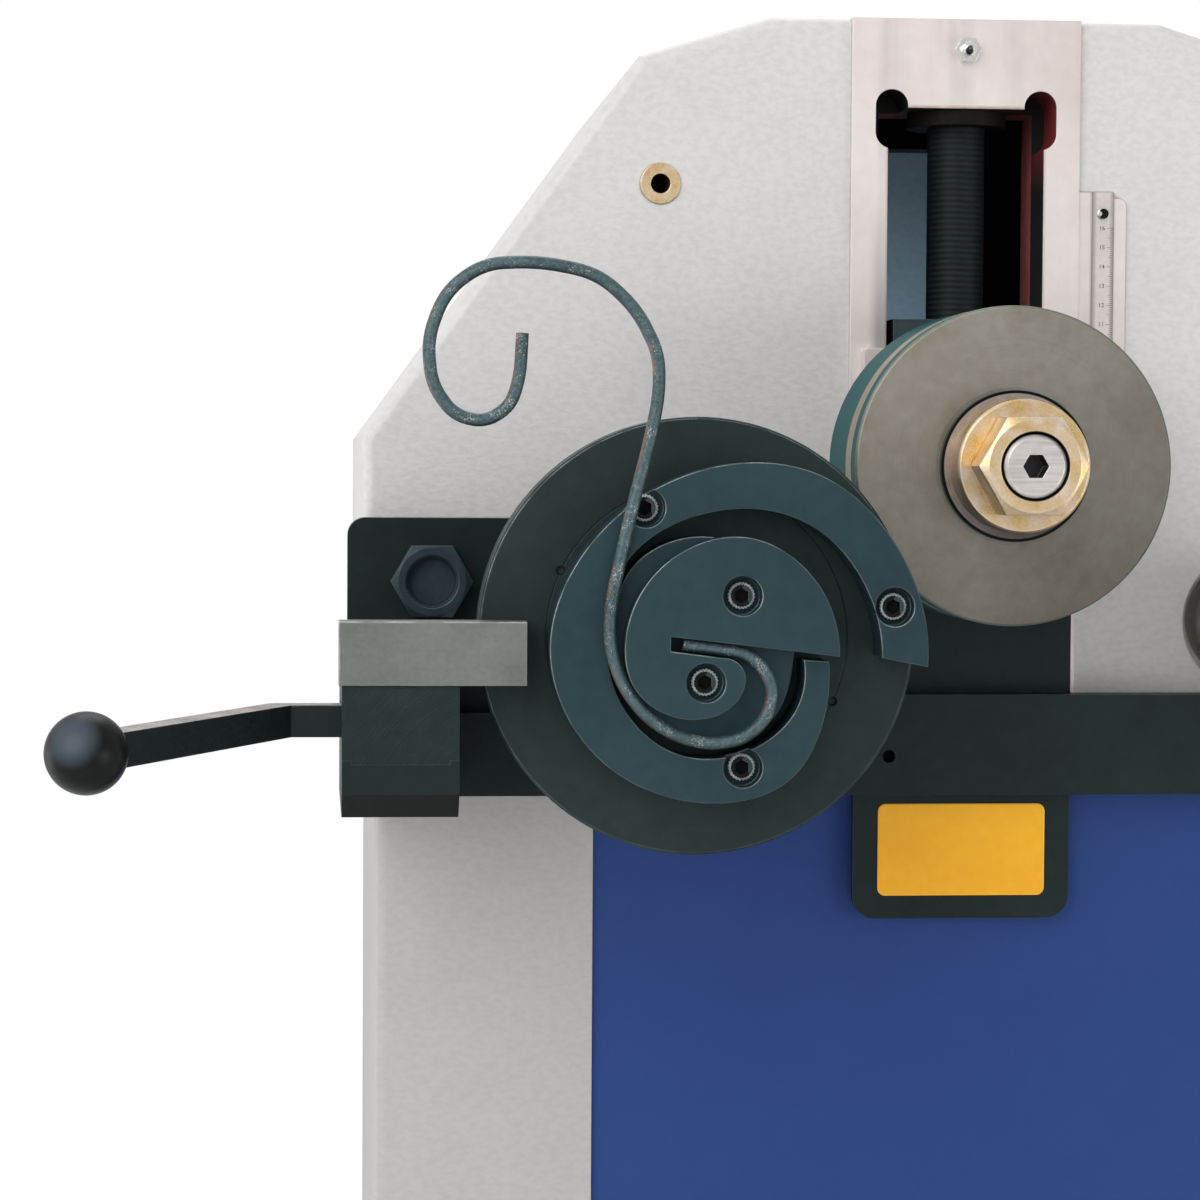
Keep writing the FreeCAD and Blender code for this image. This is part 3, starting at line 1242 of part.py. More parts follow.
def lever():
    """A square bar with a round hub, bent once, and a ball on its end."""
    side = "lever_side"
    low, high = level(f"-lever_level - {side} / 2"), level(f"-lever_level + {side} / 2")
    pivot, bend = (f"-{LEVER_PIVOT}", "-lever_setback"), f"-{LEVER_BEND}"
    hub = rod("z", "lever_hub_radius", pivot, low, high)
    stem = block((bend, pivot[0]), (f"-lever_setback - {side} / 2", f"-lever_setback + {side} / 2"),
                 (low, high))
    elbow = rod("z", f"{side} / 2", (bend, "-lever_setback"), low, high)
    arm = doc.addObject("Part::Box", "Arm")
    lean = FreeCAD.Rotation(FreeCAD.Vector(0, 0, 1), 180 + amount("lever_angle"))
    arm.Placement = FreeCAD.Placement(FreeCAD.Vector(), lean)
    bind(arm, "Length", "lever_reach - ball_flat")
    bind(arm, "Width", side)
    bind(arm, "Height", side)
    place(arm, f"{bend} - {side} / 2 * sin(lever_angle * 1 deg)",
          f"-lever_setback + {side} / 2 * cos(lever_angle * 1 deg)", low)
    crank = rod("z", "crank_radius", (pivot[0], "-lever_setback - crank_throw"), high,
                level("-holder_top + 6"))
    bore = rod("z", "pin_radius + running_clearance", pivot, f"{low} - 1", f"{high} + 1")
    node(cut(join(hub, stem, elbow, arm, crank), bore), "clamp_lever")

    ball = doc.addObject("Part::Sphere", "Ball")
    bind(ball, "Radius", "ball_radius")
    centre = (f"{bend} - lever_reach * cos(lever_angle * 1 deg)",
              "-lever_setback - lever_reach * sin(lever_angle * 1 deg)", level("-lever_level"))
    place(ball, *centre)
    shave = doc.addObject("Part::Box", "Shave")
    shave.Placement = FreeCAD.Placement(FreeCAD.Vector(), lean)
    bind(shave, "Length", "ball_radius")
    bind(shave, "Width", "ball_radius * 4")
    bind(shave, "Height", "ball_radius * 4")
    reach = "(lever_reach - ball_flat - ball_radius)"
    wide = "ball_radius * 2"
    place(shave, f"{bend} - {reach} * cos(lever_angle * 1 deg) + {wide} * -sin(lever_angle * 1 deg)",
          f"-lever_setback - {reach} * sin(lever_angle * 1 deg) + {wide} * cos(lever_angle * 1 deg)",
          level(f"-lever_level - {wide}"))
    node(cut(ball, shave), "ball_knob")


# ---------------------------------------------------------------- control box

def control_box():
    """A small box on the right cover with three push buttons on its front."""
    side = "head_half_width"
    front, back = "-box_front", "-box_front + box_depth"
    low, high = "axis_height + box_rise - box_half_height", "axis_height + box_rise + box_half_height"
    case = flat_body("switch_case")
    corners = [(side, front), (f"{side} + box_width", front), (f"{side} + box_width", back), (side, back)]
    pad(case, draw(case, corners, lift=low), f"{high} - ({low})")
    soften(case, "Fillet", "sheet_wall", upright(corners[1:3]))
    holes = []
    middle = f"{side} + box_width / 2"
    for index, label in enumerate(("button_stop", "button_reverse", "button_forward"), start=-1):
        spot = (middle, f"axis_height + box_rise + {index} * button_pitch")
        holes.append(rod("y", "button_radius + moving_clearance", spot, f"{front} - 1",
                         f"{front} + button_height + 1"))
        node(rod("y", "button_radius", spot, f"{front} - button_travel - 1", f"{front} + button_height + 1"
                 " - button_travel - moving_clearance"), label)
    node(cut(case, *holes), "switch_box")


def inserts():
    spots = [(f"{side}insert_spread", level("insert_rise")) for side in ("-", "")]
    node(group(*[ring("insert_radius", "insert_bore", spot, f"{Y_COVER} - 1", Y_FRAME) for spot in spots]),
         "threaded_inserts")


base_plate()
pedestal_side("pedestal_side_left", "-")
pedestal_side("pedestal_side_right", "")
pedestal_panels()
frames()
head_cover("head_cover_left", "-")
head_cover("head_cover_right", "")
top_cover()
slide_frame()
grease_nipple()
spindle_and_nut()
carriage()
upper_roll()
lower_shafts()
drive()
gearbox_and_motor()
scroll_stack()
scroll_bar()
guard()
bracket()
holder()
pressure_bar()
lever()
control_box()
inserts()
doc.recompute()

for item in doc.Objects:
    if "Invalid" in item.State or "Error" in item.State:
        raise ValueError(f"{item.Label}: {item.State}")
for item in NODES:
    if item.Shape.isNull() or not item.Shape.isValid() or not item.Shape.Solids:
        raise ValueError(f"{item.Label}: no valid solid")
for item in NODES:
    item.Shape.exportStep(f"parts/{item.Label}.step")
print(len(NODES), "sub-parts")
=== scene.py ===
import math

import bpy
from mathutils import Matrix, Vector


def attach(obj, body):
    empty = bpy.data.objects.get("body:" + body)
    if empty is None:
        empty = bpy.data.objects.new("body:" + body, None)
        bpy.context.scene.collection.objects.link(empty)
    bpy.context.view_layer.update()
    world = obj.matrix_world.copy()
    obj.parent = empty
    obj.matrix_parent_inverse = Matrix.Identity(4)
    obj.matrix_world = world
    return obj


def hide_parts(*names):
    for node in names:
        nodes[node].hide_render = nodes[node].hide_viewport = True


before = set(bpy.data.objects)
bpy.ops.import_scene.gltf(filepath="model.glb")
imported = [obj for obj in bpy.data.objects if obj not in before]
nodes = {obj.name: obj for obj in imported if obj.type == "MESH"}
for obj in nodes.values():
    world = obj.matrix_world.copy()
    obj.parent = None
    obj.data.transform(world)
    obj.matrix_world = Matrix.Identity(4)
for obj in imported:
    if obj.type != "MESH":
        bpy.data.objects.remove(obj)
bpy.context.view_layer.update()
bpy.ops.object.select_all(action="DESELECT")
scene = bpy.context.scene
scene.view_settings.view_transform = "Standard"

# ---------------------------------------------------------------- studio
# A long lens in front of the roll head, a little to its left and level with the upper shaft.
# Its frame ends at the head's top and above the base, so that the working parts fill it.
yaw, pitch, roll = math.radians(4.926), math.radians(-2.386), math.radians(0.331)
ahead = Vector((math.sin(yaw) * math.cos(pitch), math.cos(yaw) * math.cos(pitch), math.sin(pitch)))
level_right = Vector((math.cos(yaw), -math.sin(yaw), 0))
right = math.cos(roll) * level_right + math.sin(roll) * level_right.cross(ahead)
camera = bpy.data.objects.new("camera", bpy.data.cameras.new("camera"))
scene.collection.objects.link(camera)
camera.data.lens = 100
camera.data.sensor_width = 36
camera.matrix_world = Matrix.Translation((-0.3371, -1.8649, 0.9823)) @ Matrix(
    (right, right.cross(ahead), -ahead)).transposed().to_4x4()
scene.camera = camera

# A wide soft lamp above on the left, a weaker one low on the right, one beside it and a strip over the top.
# A small one behind the rear plate stands for the daylight that enters at the open top of the slot.
for name, place, aim, size, power in (
        ("key_lamp", (-1.66, -2.28, 2.2), (-0.05, -0.2, 1.0), 2.3, 48),
        ("fill_lamp", (2.6, -2.6, 0.4), (0.15, -0.2, 0.75), 1.8, 29),
        ("side_lamp", (-2.4, 0.5, 0.4), (-0.3, 0.0, 0.5), 1.2, 7),
        ("top_lamp", (-0.2, 0.9, 3.0), (0.0, 0.0, 1.0), 1.6, 17),
        ("slot_lamp", (0.02, 0.15, 1.06), (0.03, 0.25, 1.1), 0.08, 0.032)):
    lamp = bpy.data.lights.new(name, "AREA")
    lamp.size = size
    lamp.energy = power
    holder = bpy.data.objects.new(name, lamp)
    scene.collection.objects.link(holder)
    holder.location = place
    holder.rotation_euler = (Vector(aim) - Vector(place)).to_track_quat("-Z", "Y").to_euler()
lamp.color = (0.5, 0.78, 1.0)

# The room: white to the lens, and dimmer in front of the machine than behind and above it.
world = bpy.data.worlds.new("studio")
scene.world = world
world.use_nodes = True
tree = world.node_tree
rays = tree.nodes.new("ShaderNodeLightPath")
seen = tree.nodes.new("ShaderNodeMath")
seen.operation = "ADD"
seen.use_clamp = True
tree.links.new(rays.outputs["Is Camera Ray"], seen.inputs[0])
tree.links.new(rays.outputs["Is Transmission Ray"], seen.inputs[1])
glossy = tree.nodes.new("ShaderNodeMath")
glossy.operation = "MULTIPLY_ADD"
glossy.use_clamp = True
glossy.inputs[1].default_value = 0.25
tree.links.new(rays.outputs["Is Glossy Ray"], glossy.inputs[0])
tree.links.new(seen.outputs[0], glossy.inputs[2])
direction = tree.nodes.new("ShaderNodeTexCoord")
depth = tree.nodes.new("ShaderNodeSeparateXYZ")
tree.links.new(direction.outputs["Generated"], depth.inputs[0])
gradient = tree.nodes.new("ShaderNodeMapRange")
gradient.inputs["From Min"].default_value = -0.9
gradient.inputs["From Max"].default_value = 0.6
gradient.inputs["To Min"].default_value = 0.5
gradient.inputs["To Max"].default_value = 0.75
tree.links.new(depth.outputs["Y"], gradient.inputs["Value"])
strength = tree.nodes.new("ShaderNodeMix")
tree.links.new(glossy.outputs[0], strength.inputs["Factor"])
tree.links.new(gradient.outputs["Result"], strength.inputs["A"])
strength.inputs["B"].default_value = 1.0
tree.nodes["Background"].inputs["Color"].default_value = (1, 1, 1, 1)
tree.links.new(strength.outputs["Result"], tree.nodes["Background"].inputs["Strength"])

# The floor is pale and fades to the room's white a step away from the machine; it throws light up at the front.
bpy.ops.mesh.primitive_plane_add(size=16, location=(0, 0, 0))
floor = bpy.context.active_object
floor.name = "floor"
pale = bpy.data.materials.new("pale_floor")
pale.use_nodes = True
tree = pale.node_tree
tree.nodes["Principled BSDF"].inputs["Roughness"].default_value = 0.6
coordinates = tree.nodes.new("ShaderNodeTexCoord")
distance = tree.nodes.new("ShaderNodeVectorMath")
distance.operation = "LENGTH"
tree.links.new(coordinates.outputs["Object"], distance.inputs[0])
fade = tree.nodes.new("ShaderNodeMapRange")
fade.inputs["From Min"].default_value = 0.7
fade.inputs["From Max"].default_value = 1.7
tree.links.new(distance.outputs["Value"], fade.inputs["Value"])
rays = tree.nodes.new("ShaderNodeLightPath")
share = tree.nodes.new("ShaderNodeMath")
share.operation = "MULTIPLY"
tree.links.new(fade.outputs["Result"], share.inputs[0])
tree.links.new(rays.outputs["Is Camera Ray"], share.inputs[1])
bounce = tree.nodes.new("ShaderNodeMapRange")
bounce.inputs["To Min"].default_value = 0.95
bounce.inputs["To Max"].default_value = 0.8
tree.links.new(rays.outputs["Is Camera Ray"], bounce.inputs["Value"])
tree.links.new(bounce.outputs["Result"], tree.nodes["Principled BSDF"].inputs["Base Color"])
white = tree.nodes.new("ShaderNodeEmission")
joined = tree.nodes.new("ShaderNodeMixShader")
tree.links.new(share.outputs[0], joined.inputs[0])
tree.links.new(tree.nodes["Principled BSDF"].outputs[0], joined.inputs[1])
tree.links.new(white.outputs[0], joined.inputs[2])
tree.links.new(joined.outputs[0], tree.nodes["Material Output"].inputs["Surface"])
floor.data.materials.append(pale)


# ---------------------------------------------------------------- pedestal sheets
# Two folded side sheets and a rear panel of 3 mm steel, bent on a press brake and bolted to the base.
# They have the same textured light grey powder paint as the head, baked on, painted a shade darker here as painted
# shade for the lower part of the machine.

def effect(name, inputs, outputs):
    """A shader node group with its sockets, for an effect that several finishes share."""
    group = bpy.data.node_groups.new(name, "ShaderNodeTree")
    for socket, (kind, value) in inputs.items():
        made = group.interface.new_socket(socket, in_out="INPUT", socket_type="NodeSocket" + kind)
        made.default_value = value
    for socket, kind in outputs.items():
        group.interface.new_socket(socket, in_out="OUTPUT", socket_type="NodeSocket" + kind)
    return group, group.nodes.new("NodeGroupInput"), group.nodes.new("NodeGroupOutput")


def add(tree, kind, links=(), **values):
    """A node with its settings and socket values, and links as (socket, output of another node)."""
    node = tree.nodes.new("ShaderNode" + kind)
    for name, value in values.items():
        if hasattr(node, name):
            setattr(node, name, value)
        else:
            node.inputs[name.replace("_", " ")].default_value = value
    for socket, output in links:
        tree.links.new(output, node.inputs[socket])
    return node


def ramp(tree, value, start=0.0, end=1.0, **values):
    """A value that goes from 0 to 1 between start and end, or between the limits given as To Min and To Max."""
    return add(tree, "MapRange", [("Value", value)], From_Min=start, From_Max=end, **values).outputs["Result"]


def times(tree, first, second):
    """Two masks multiplied."""
    return add(tree, "Math", [(0, first), (1, second)], operation="MULTIPLY").outputs[0]


def dimmed(tree, colour, share):
    """A colour made darker or lighter by a share."""
    return add(tree, "VectorMath", [(0, colour), ("Scale", share)], operation="SCALE").outputs[0]


def along(tree, vector, direction):
    """How far a vector points in a direction."""
    node = add(tree, "VectorMath", [(0, vector)], operation="DOT_PRODUCT")
    node.inputs[1].default_value = direction
    return node.outputs["Value"]


def blend(tree, share, under, over):
    """One colour laid over another by a share; each is an output or a plain colour."""
    node = add(tree, "MixRGB", [("Fac", share)])
    for socket, colour in (("Color1", under), ("Color2", over)):
        if isinstance(colour, tuple):
            node.inputs[socket].default_value = colour
        else:
            tree.links.new(colour, node.inputs[socket])
    return node.outputs[0]


# Cloudy colour: two tones mixed in soft patches with finer specks in them.
cloudy, start, end = effect("cloudy_colour", {
    "Light": ("Color", (0.6, 0.6, 0.6, 1)), "Dark": ("Color", (0.4, 0.4, 0.4, 1)),
    "Scale": ("Float", 6.0), "Speck": ("Float", 0.3)}, {"Color": "Color", "Value": "Float"})
spot = add(cloudy, "TexCoord")
patch = add(cloudy, "TexNoise", [("Vector", spot.outputs["Object"]), ("Scale", start.outputs["Scale"])], Detail=3.0)
finer = add(cloudy, "Math", [(0, start.outputs["Scale"])], operation="MULTIPLY")
finer.inputs[1].default_value = 14.0
speck = add(cloudy, "TexNoise", [("Vector", spot.outputs["Object"]), ("Scale", finer.outputs[0])], Detail=4.0)
both = add(cloudy, "Mix", [("Factor", start.outputs["Speck"]), ("A", patch.outputs[0]), ("B", speck.outputs[0])])
spread = ramp(cloudy, both.outputs["Result"], 0.34, 0.66)
tone = blend(cloudy, spread, start.outputs["Dark"], start.outputs["Light"])
cloudy.links.new(tone, end.inputs["Color"])
cloudy.links.new(spread, end.inputs["Value"])

# Worn and glinting edges: the bare colour shows along sharp edges, in an uneven line, as wear; it is painted
# strongest where they face up and left, a painted highlight of the light from there.
wear_and_glint, start, end = effect("worn_and_glinting_edges", {
    "Color": ("Color", (0.5, 0.5, 0.5, 1)), "Bare": ("Color", (0.6, 0.6, 0.6, 1)),
    "Width": ("Float", 0.0008), "Amount": ("Float", 1.0), "Scale": ("Float", 90.0)},
    {"Color": "Color", "Wear_and_glint": "Float", "Normal": "Vector"})
rounded = add(wear_and_glint, "Bevel", [("Radius", start.outputs["Width"])], samples=6)
flat = add(wear_and_glint, "NewGeometry")
facing = add(wear_and_glint, "VectorMath", [(0, rounded.outputs[0]), (1, flat.outputs["Normal"])], operation="DOT_PRODUCT")
edge = ramp(wear_and_glint, facing.outputs["Value"], 0.99, 0.86)
spot = add(wear_and_glint, "TexCoord")
patch = add(wear_and_glint, "TexNoise", [("Vector", spot.outputs["Object"]), ("Scale", start.outputs["Scale"])], Detail=4.0)
chips = ramp(wear_and_glint, patch.outputs[0], 0.38, 0.62, To_Min=0.3)
line = times(wear_and_glint, edge, chips)
# Painted highlight: edges that face up and left get more of the bright colour.
toward_light = along(wear_and_glint, rounded.outputs[0], (-0.6, -0.35, 0.72))
painted_light_part = ramp(wear_and_glint, toward_light, 0.1, 0.75, To_Min=0.14)
most = times(wear_and_glint, line, painted_light_part)
edge_wear_and_glint = add(wear_and_glint, "Math", [(0, most), (1, start.outputs["Amount"])], operation="MULTIPLY", use_clamp=True)
tone = blend(wear_and_glint, edge_wear_and_glint.outputs[0], start.outputs["Color"], start.outputs["Bare"])
wear_and_glint.links.new(tone, end.inputs["Color"])
wear_and_glint.links.new(edge_wear_and_glint.outputs[0], end.inputs["Wear_and_glint"])
wear_and_glint.links.new(rounded.outputs[0], end.inputs["Normal"])


def srgb(red, green, blue):
    """A colour as it looks, 0 to 255, turned into the linear values that shaders take."""
    return tuple((c / 255 / 12.92) if c < 10.3 else ((c / 255 + 0.055) / 1.055) ** 2.4
                 for c in (red, green, blue)) + (1,)


def use(tree, group, links=(), **values):
    """A shared effect placed in a finish with its own values."""
    node = tree.nodes.new("ShaderNodeGroup")
    node.node_tree = group
    for name, value in values.items():
        node.inputs[name.replace("_", " ")].default_value = value
    for socket, output in links:
        tree.links.new(output, node.inputs[socket])
    return node


def finish(name, roughness, metallic=0.0, coat=0.0, gloss=0.5):
    """An empty finish: its material, node tree and Principled shader."""
    material = bpy.data.materials.new(name)
    material.use_nodes = True
    shader = material.node_tree.nodes["Principled BSDF"]
    shader.inputs["Roughness"].default_value = roughness
    shader.inputs["Metallic"].default_value = metallic
    shader.inputs["Coat Weight"].default_value = coat
    shader.inputs["Specular IOR Level"].default_value = gloss
    return material, material.node_tree, shader


def dress(material, *names):
    """Give CAD nodes a finish."""
    for name in names:
        nodes[name].data.materials.clear()
        nodes[name].data.materials.append(material)


def bump(tree, shader, height, strength, distance, edges=None):
    """Small relief, laid over the rounded edges where the finish has them."""
    relief = add(tree, "Bump", [("Height", height)], Strength=strength, Distance=distance)
    if edges:
        tree.links.new(edges.outputs["Normal"], relief.inputs["Normal"])
    tree.links.new(relief.outputs[0], shader.inputs["Normal"])


def powder_paint(name, light, dark, bare, peel=0.2, roughness=0.42, gloss=0.5, pebble_shade=0.05):
    """Textured powder paint: soft tone changes, a pebbled skin and thin places along the edges."""
    material, tree, shader = finish(name, roughness, gloss=gloss)
    tones = use(tree, cloudy, Light=light, Dark=dark, Scale=2.2, Speck=0.25)
    spot = add(tree, "TexCoord")
    flatter = add(tree, "VectorMath", [(0, spot.outputs["Object"])], operation="MULTIPLY")
    flatter.inputs[1].default_value = (1, 1, 1.6)
    pebbles = add(tree, "TexNoise", [("Vector", flatter.outputs[0])], Scale=210.0, Detail=2.0, Roughness=0.5)
    # Painted shade in the pebbles' hollows and painted light on their tops.
    hollows = ramp(tree, pebbles.outputs[0], 0.36, 0.6, To_Min=1 - pebble_shade, To_Max=1 + pebble_shade * 0.3)
    shaded = dimmed(tree, tones.outputs["Color"], hollows)
    edges = use(tree, wear_and_glint, [("Color", shaded)], Bare=bare, Width=0.0012, Amount=0.5)
    tree.links.new(edges.outputs["Color"], shader.inputs["Base Color"])
    bump(tree, shader, pebbles.outputs[0], peel, 0.001, edges)
    sheen = ramp(tree, pebbles.outputs[0], To_Min=roughness - 0.08, To_Max=roughness + 0.12)
    tree.links.new(sheen, shader.inputs["Roughness"])
    return material


grey_paint = powder_paint("grey_powder_paint", srgb(184, 182, 179), srgb(174, 172, 170), srgb(215, 213, 210))
dress(grey_paint, "pedestal_side_left", "pedestal_side_right", "rear_panel")


def socket_screw(finishes, head, height, socket, bevel, grips=0, sides=6, reach=0.6):
    """A screw head modelled upright at the origin: a chamfered cylinder, knurled if it has grips, with a hole.

    The hole has six sides and goes in by reach, a share of the height. With many sides it makes a ring.
    The finishes are, in this order, the face, the hole and the rim.
    """
    bpy.ops.object.select_all(action="DESELECT")
    bpy.ops.mesh.primitive_cylinder_add(vertices=2 * grips or 40, radius=head, depth=height,
                                        location=(0, 0, height / 2))
    screw = bpy.context.active_object
    if grips:
        bpy.ops.object.mode_set(mode="EDIT")
        bpy.ops.mesh.select_mode(type="VERT")
        bpy.ops.mesh.select_all(action="DESELECT")
        bpy.ops.object.mode_set(mode="OBJECT")
        for corner in screw.data.vertices:
            turn = round(math.atan2(corner.co.x, corner.co.y) / math.pi * grips)
            corner.select = turn % 2 == 0
        bpy.ops.object.mode_set(mode="EDIT")
        bpy.ops.transform.resize(value=(0.92, 0.92, 1))
        bpy.ops.object.mode_set(mode="OBJECT")
    bpy.ops.object.mode_set(mode="EDIT")
    bpy.ops.mesh.select_mode(type="FACE")
    bpy.ops.object.mode_set(mode="OBJECT")
    for face in screw.data.polygons:
        face.select = face.normal.z > 0.9
    bpy.ops.object.mode_set(mode="EDIT")
    bpy.ops.mesh.inset(thickness=bevel)
    bpy.ops.transform.translate(value=(0, 0, bevel * 0.8))
    bpy.ops.object.mode_set(mode="OBJECT")
    bpy.ops.mesh.primitive_cylinder_add(vertices=sides, radius=socket / 2 / math.cos(math.pi / sides),
                                        depth=height * reach,
                                        location=(0, 0, height * (1 - reach / 2) + bevel * 0.8 + 1e-5))
    hole = bpy.context.active_object
    carve = screw.modifiers.new("socket", "BOOLEAN")
    carve.operation = "DIFFERENCE"
    carve.object = hole
    bpy.ops.object.select_all(action="DESELECT")
    screw.select_set(True)
    bpy.context.view_layer.objects.active = screw
    bpy.ops.object.modifier_apply(modifier=carve.name)
    bpy.data.objects.remove(hole)
    screw.data.materials.clear()
    for material in finishes:
        screw.data.materials.append(material)
    for face in screw.data.polygons:
        inside = face.center.xy.length < socket * 0.56 and face.center.z < height * 0.98
        face.material_index = 1 if inside else 2 if face.normal.z < 0.95 else 0
    bpy.ops.object.shade_smooth_by_angle(angle=math.radians(28))
    return screw


def repeat(piece, name, spots, turn):
    """Copies of an upright piece, turned and set at each spot, then joined under one name."""
    made = []
    for spot in spots:
        twin = piece.copy()
        twin.data = piece.data.copy()
        scene.collection.objects.link(twin)
        twin.rotation_euler = [math.radians(angle) for angle in turn]
        twin.location = spot
        made.append(twin)
    bpy.data.objects.remove(piece)
    bpy.ops.object.select_all(action="DESELECT")
    for twin in made:
        twin.select_set(True)
    bpy.context.view_layer.objects.active = made[0]
    bpy.ops.object.transform_apply(location=True, rotation=True, scale=True)
    bpy.ops.object.join()
    made[0].name = name
    return made[0]


def plated(name, light, dark, roughness=0.3):
    """Plated small parts: cloudy tones over bare metal, with bright worn edges."""
    material, tree, shader = finish(name, roughness, 0.9)
    tones = use(tree, cloudy, Light=light, Dark=dark, Scale=90.0, Speck=0.4)
    edges = use(tree, wear_and_glint, [("Color", tones.outputs["Color"])], Bare=srgb(240, 238, 234), Width=0.0003, Amount=0.8)
    tree.links.new(edges.outputs["Color"], shader.inputs["Base Color"])
    sheen = ramp(tree, tones.outputs["Value"], To_Min=roughness - 0.06, To_Max=roughness + 0.12)
    tree.links.new(sheen, shader.inputs["Roughness"])
    tree.links.new(edges.outputs["Normal"], shader.inputs["Normal"])
    return material


bright_zinc = plated("bright_zinc", srgb(232, 232, 229), srgb(198, 200, 201))
# The hex sockets are painted near black, a painted shade for the deep holes.
socket_shade, tree, shader = finish("socket_shade", 0.7, gloss=0.1)
tones = use(tree, cloudy, Light=srgb(30, 32, 32), Dark=srgb(14, 15, 16), Scale=300.0, Speck=0.5)
tree.links.new(tones.outputs["Color"], shader.inputs["Base Color"])
zinc_screw = (bright_zinc, socket_shade, bright_zinc)
panel_screws = repeat(socket_screw(zinc_screw, 0.0052, 0.0024, 0.004, 0.0009), "rear_panel_screws",
                      [(side * 0.268, 0.25, level) for side in (-1, 1) for level in (0.05, 0.3, 0.55, 0.79)],
                      (-90, 0, 0))
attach(panel_screws, "frame")

# ---------------------------------------------------------------- base plate
# A 12 mm plate with rounded corners and four anchor holes, painted satin black.
# The sheets and the frame plates are screwed to it from below.
black_paint = powder_paint("black_powder_paint", srgb(38, 42, 44), srgb(28, 32, 34), srgb(90, 90, 88), 0.2, 0.4)
dress(black_paint, "base_plate")

# ---------------------------------------------------------------- front panel
# A flat sheet behind the front returns, painted dark blue, that gives the machine its colour.
# It hangs on the returns by hidden screws.
blue_paint = powder_paint("blue_powder_paint", srgb(45, 71, 130), srgb(40, 65, 124), srgb(70, 92, 145), 0.15, 0.45,
                          0.15, pebble_shade=0.02)
dress(blue_paint, "front_panel")

# ---------------------------------------------------------------- frame plates
# Two 25 mm plates that carry all the shafts, cut out to save weight.
# They are primed in red oxide, which shows on the wall of the slide's slot.
# Their faces are machined bare, and painted near black, a painted shade for where they show deep in the reliefs.
material, tree, shader = finish("primed_plate", 0.62, gloss=0.2)
primer = use(tree, cloudy, Light=srgb(162, 90, 84), Dark=srgb(130, 68, 64), Scale=20.0, Speck=0.5)
painted_shade = use(tree, cloudy, Light=srgb(26, 24, 22), Dark=srgb(14, 14, 13), Scale=30.0, Speck=0.5)
spot = add(tree, "TexCoord")
facing = add(tree, "SeparateXYZ", [("Vector", spot.outputs["Normal"])])
flatness = add(tree, "Math", [(0, facing.outputs["Y"])], operation="ABSOLUTE")
face = ramp(tree, flatness.outputs[0], 0.7, 0.9)
mixed = blend(tree, face, primer.outputs["Color"], painted_shade.outputs["Color"])
tree.links.new(mixed, shader.inputs["Base Color"])
bump(tree, shader, primer.outputs["Value"], 0.15, 0.0008)
dress(material, "frame_front", "frame_rear")

# ---------------------------------------------------------------- head covers
# Two deep folded covers with the slide frame between them, and a strip that closes the top and the back.
# Their light grey paint is the same as the pedestal's, which is painted a shade darker as painted shade.
head_paint = powder_paint("head_powder_paint", srgb(217, 215, 213), srgb(207, 205, 203), srgb(236, 234, 232), 0.3,
                          pebble_shade=0.06)
dress(head_paint, "head_cover_left", "head_cover_right", "top_cover")

cover_screws = repeat(socket_screw(zinc_screw, 0.0052, 0.0024, 0.004, 0.0009), "cover_screws",
                      [(x, 0.253, z) for x, z in ((-0.285, 0.84), (0.285, 0.84), (-0.285, 1.0), (0.285, 1.0),
                                                  (-0.15, 1.165), (0.15, 1.165))], (-90, 0, 0))
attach(cover_screws, "frame")

# ---------------------------------------------------------------- slide frame, ruler and keeper
# The guide of the upper slide is ground all over and left bare, as are its ruler and the keeper plate.
# Grinding leaves fine upright lines and a few brown handling marks.
grained, start, end = effect("grain", {
    "Stretch": ("Vector", (1.0, 1.0, 1.0)), "Fineness": ("Float", 600.0)}, {"Value": "Float"})
spot = add(grained, "TexCoord")
drawn = add(grained, "VectorMath", [(0, spot.outputs["Object"]), (1, start.outputs["Stretch"])], operation="MULTIPLY")
lines = add(grained, "TexNoise", [("Vector", drawn.outputs[0]), ("Scale", start.outputs["Fineness"])], Detail=3.0)
grained.links.new(lines.outputs[0], end.inputs["Value"])


def bare_steel(name, light, dark, bright, roughness, stretch, fineness=600.0, metallic=0.9, scale=9.0, relief=0.25,
               width=0.0007, edge_wear_and_glint=0.8, speck=0.3, gloss=0.5):
    """Machined steel: cloudy tones, fine lines along one axis that also change its gloss, and bright edges."""
    material, tree, shader = finish(name, roughness, metallic, gloss=gloss)
    tones = use(tree, cloudy, Light=light, Dark=dark, Scale=scale, Speck=speck)
    edges = use(tree, wear_and_glint, [("Color", tones.outputs["Color"])], Bare=bright, Width=width, Amount=edge_wear_and_glint)
    tree.links.new(edges.outputs["Color"], shader.inputs["Base Color"])
    lines = use(tree, grained, Stretch=stretch, Fineness=fineness)
    sheen = ramp(tree, lines.outputs[0], 0.3, 0.7, To_Min=roughness - 0.07, To_Max=roughness + 0.1)
    tree.links.new(sheen, shader.inputs["Roughness"])
    bump(tree, shader, lines.outputs[0], relief, 0.0003, edges)
    return material


ground_steel = bare_steel("ground_steel", srgb(230, 221, 218), srgb(210, 199, 195), srgb(240, 236, 232), 0.5,
                          (1.0, 1.0, 0.04), metallic=0.7)
dress(ground_steel, "keeper_plate")

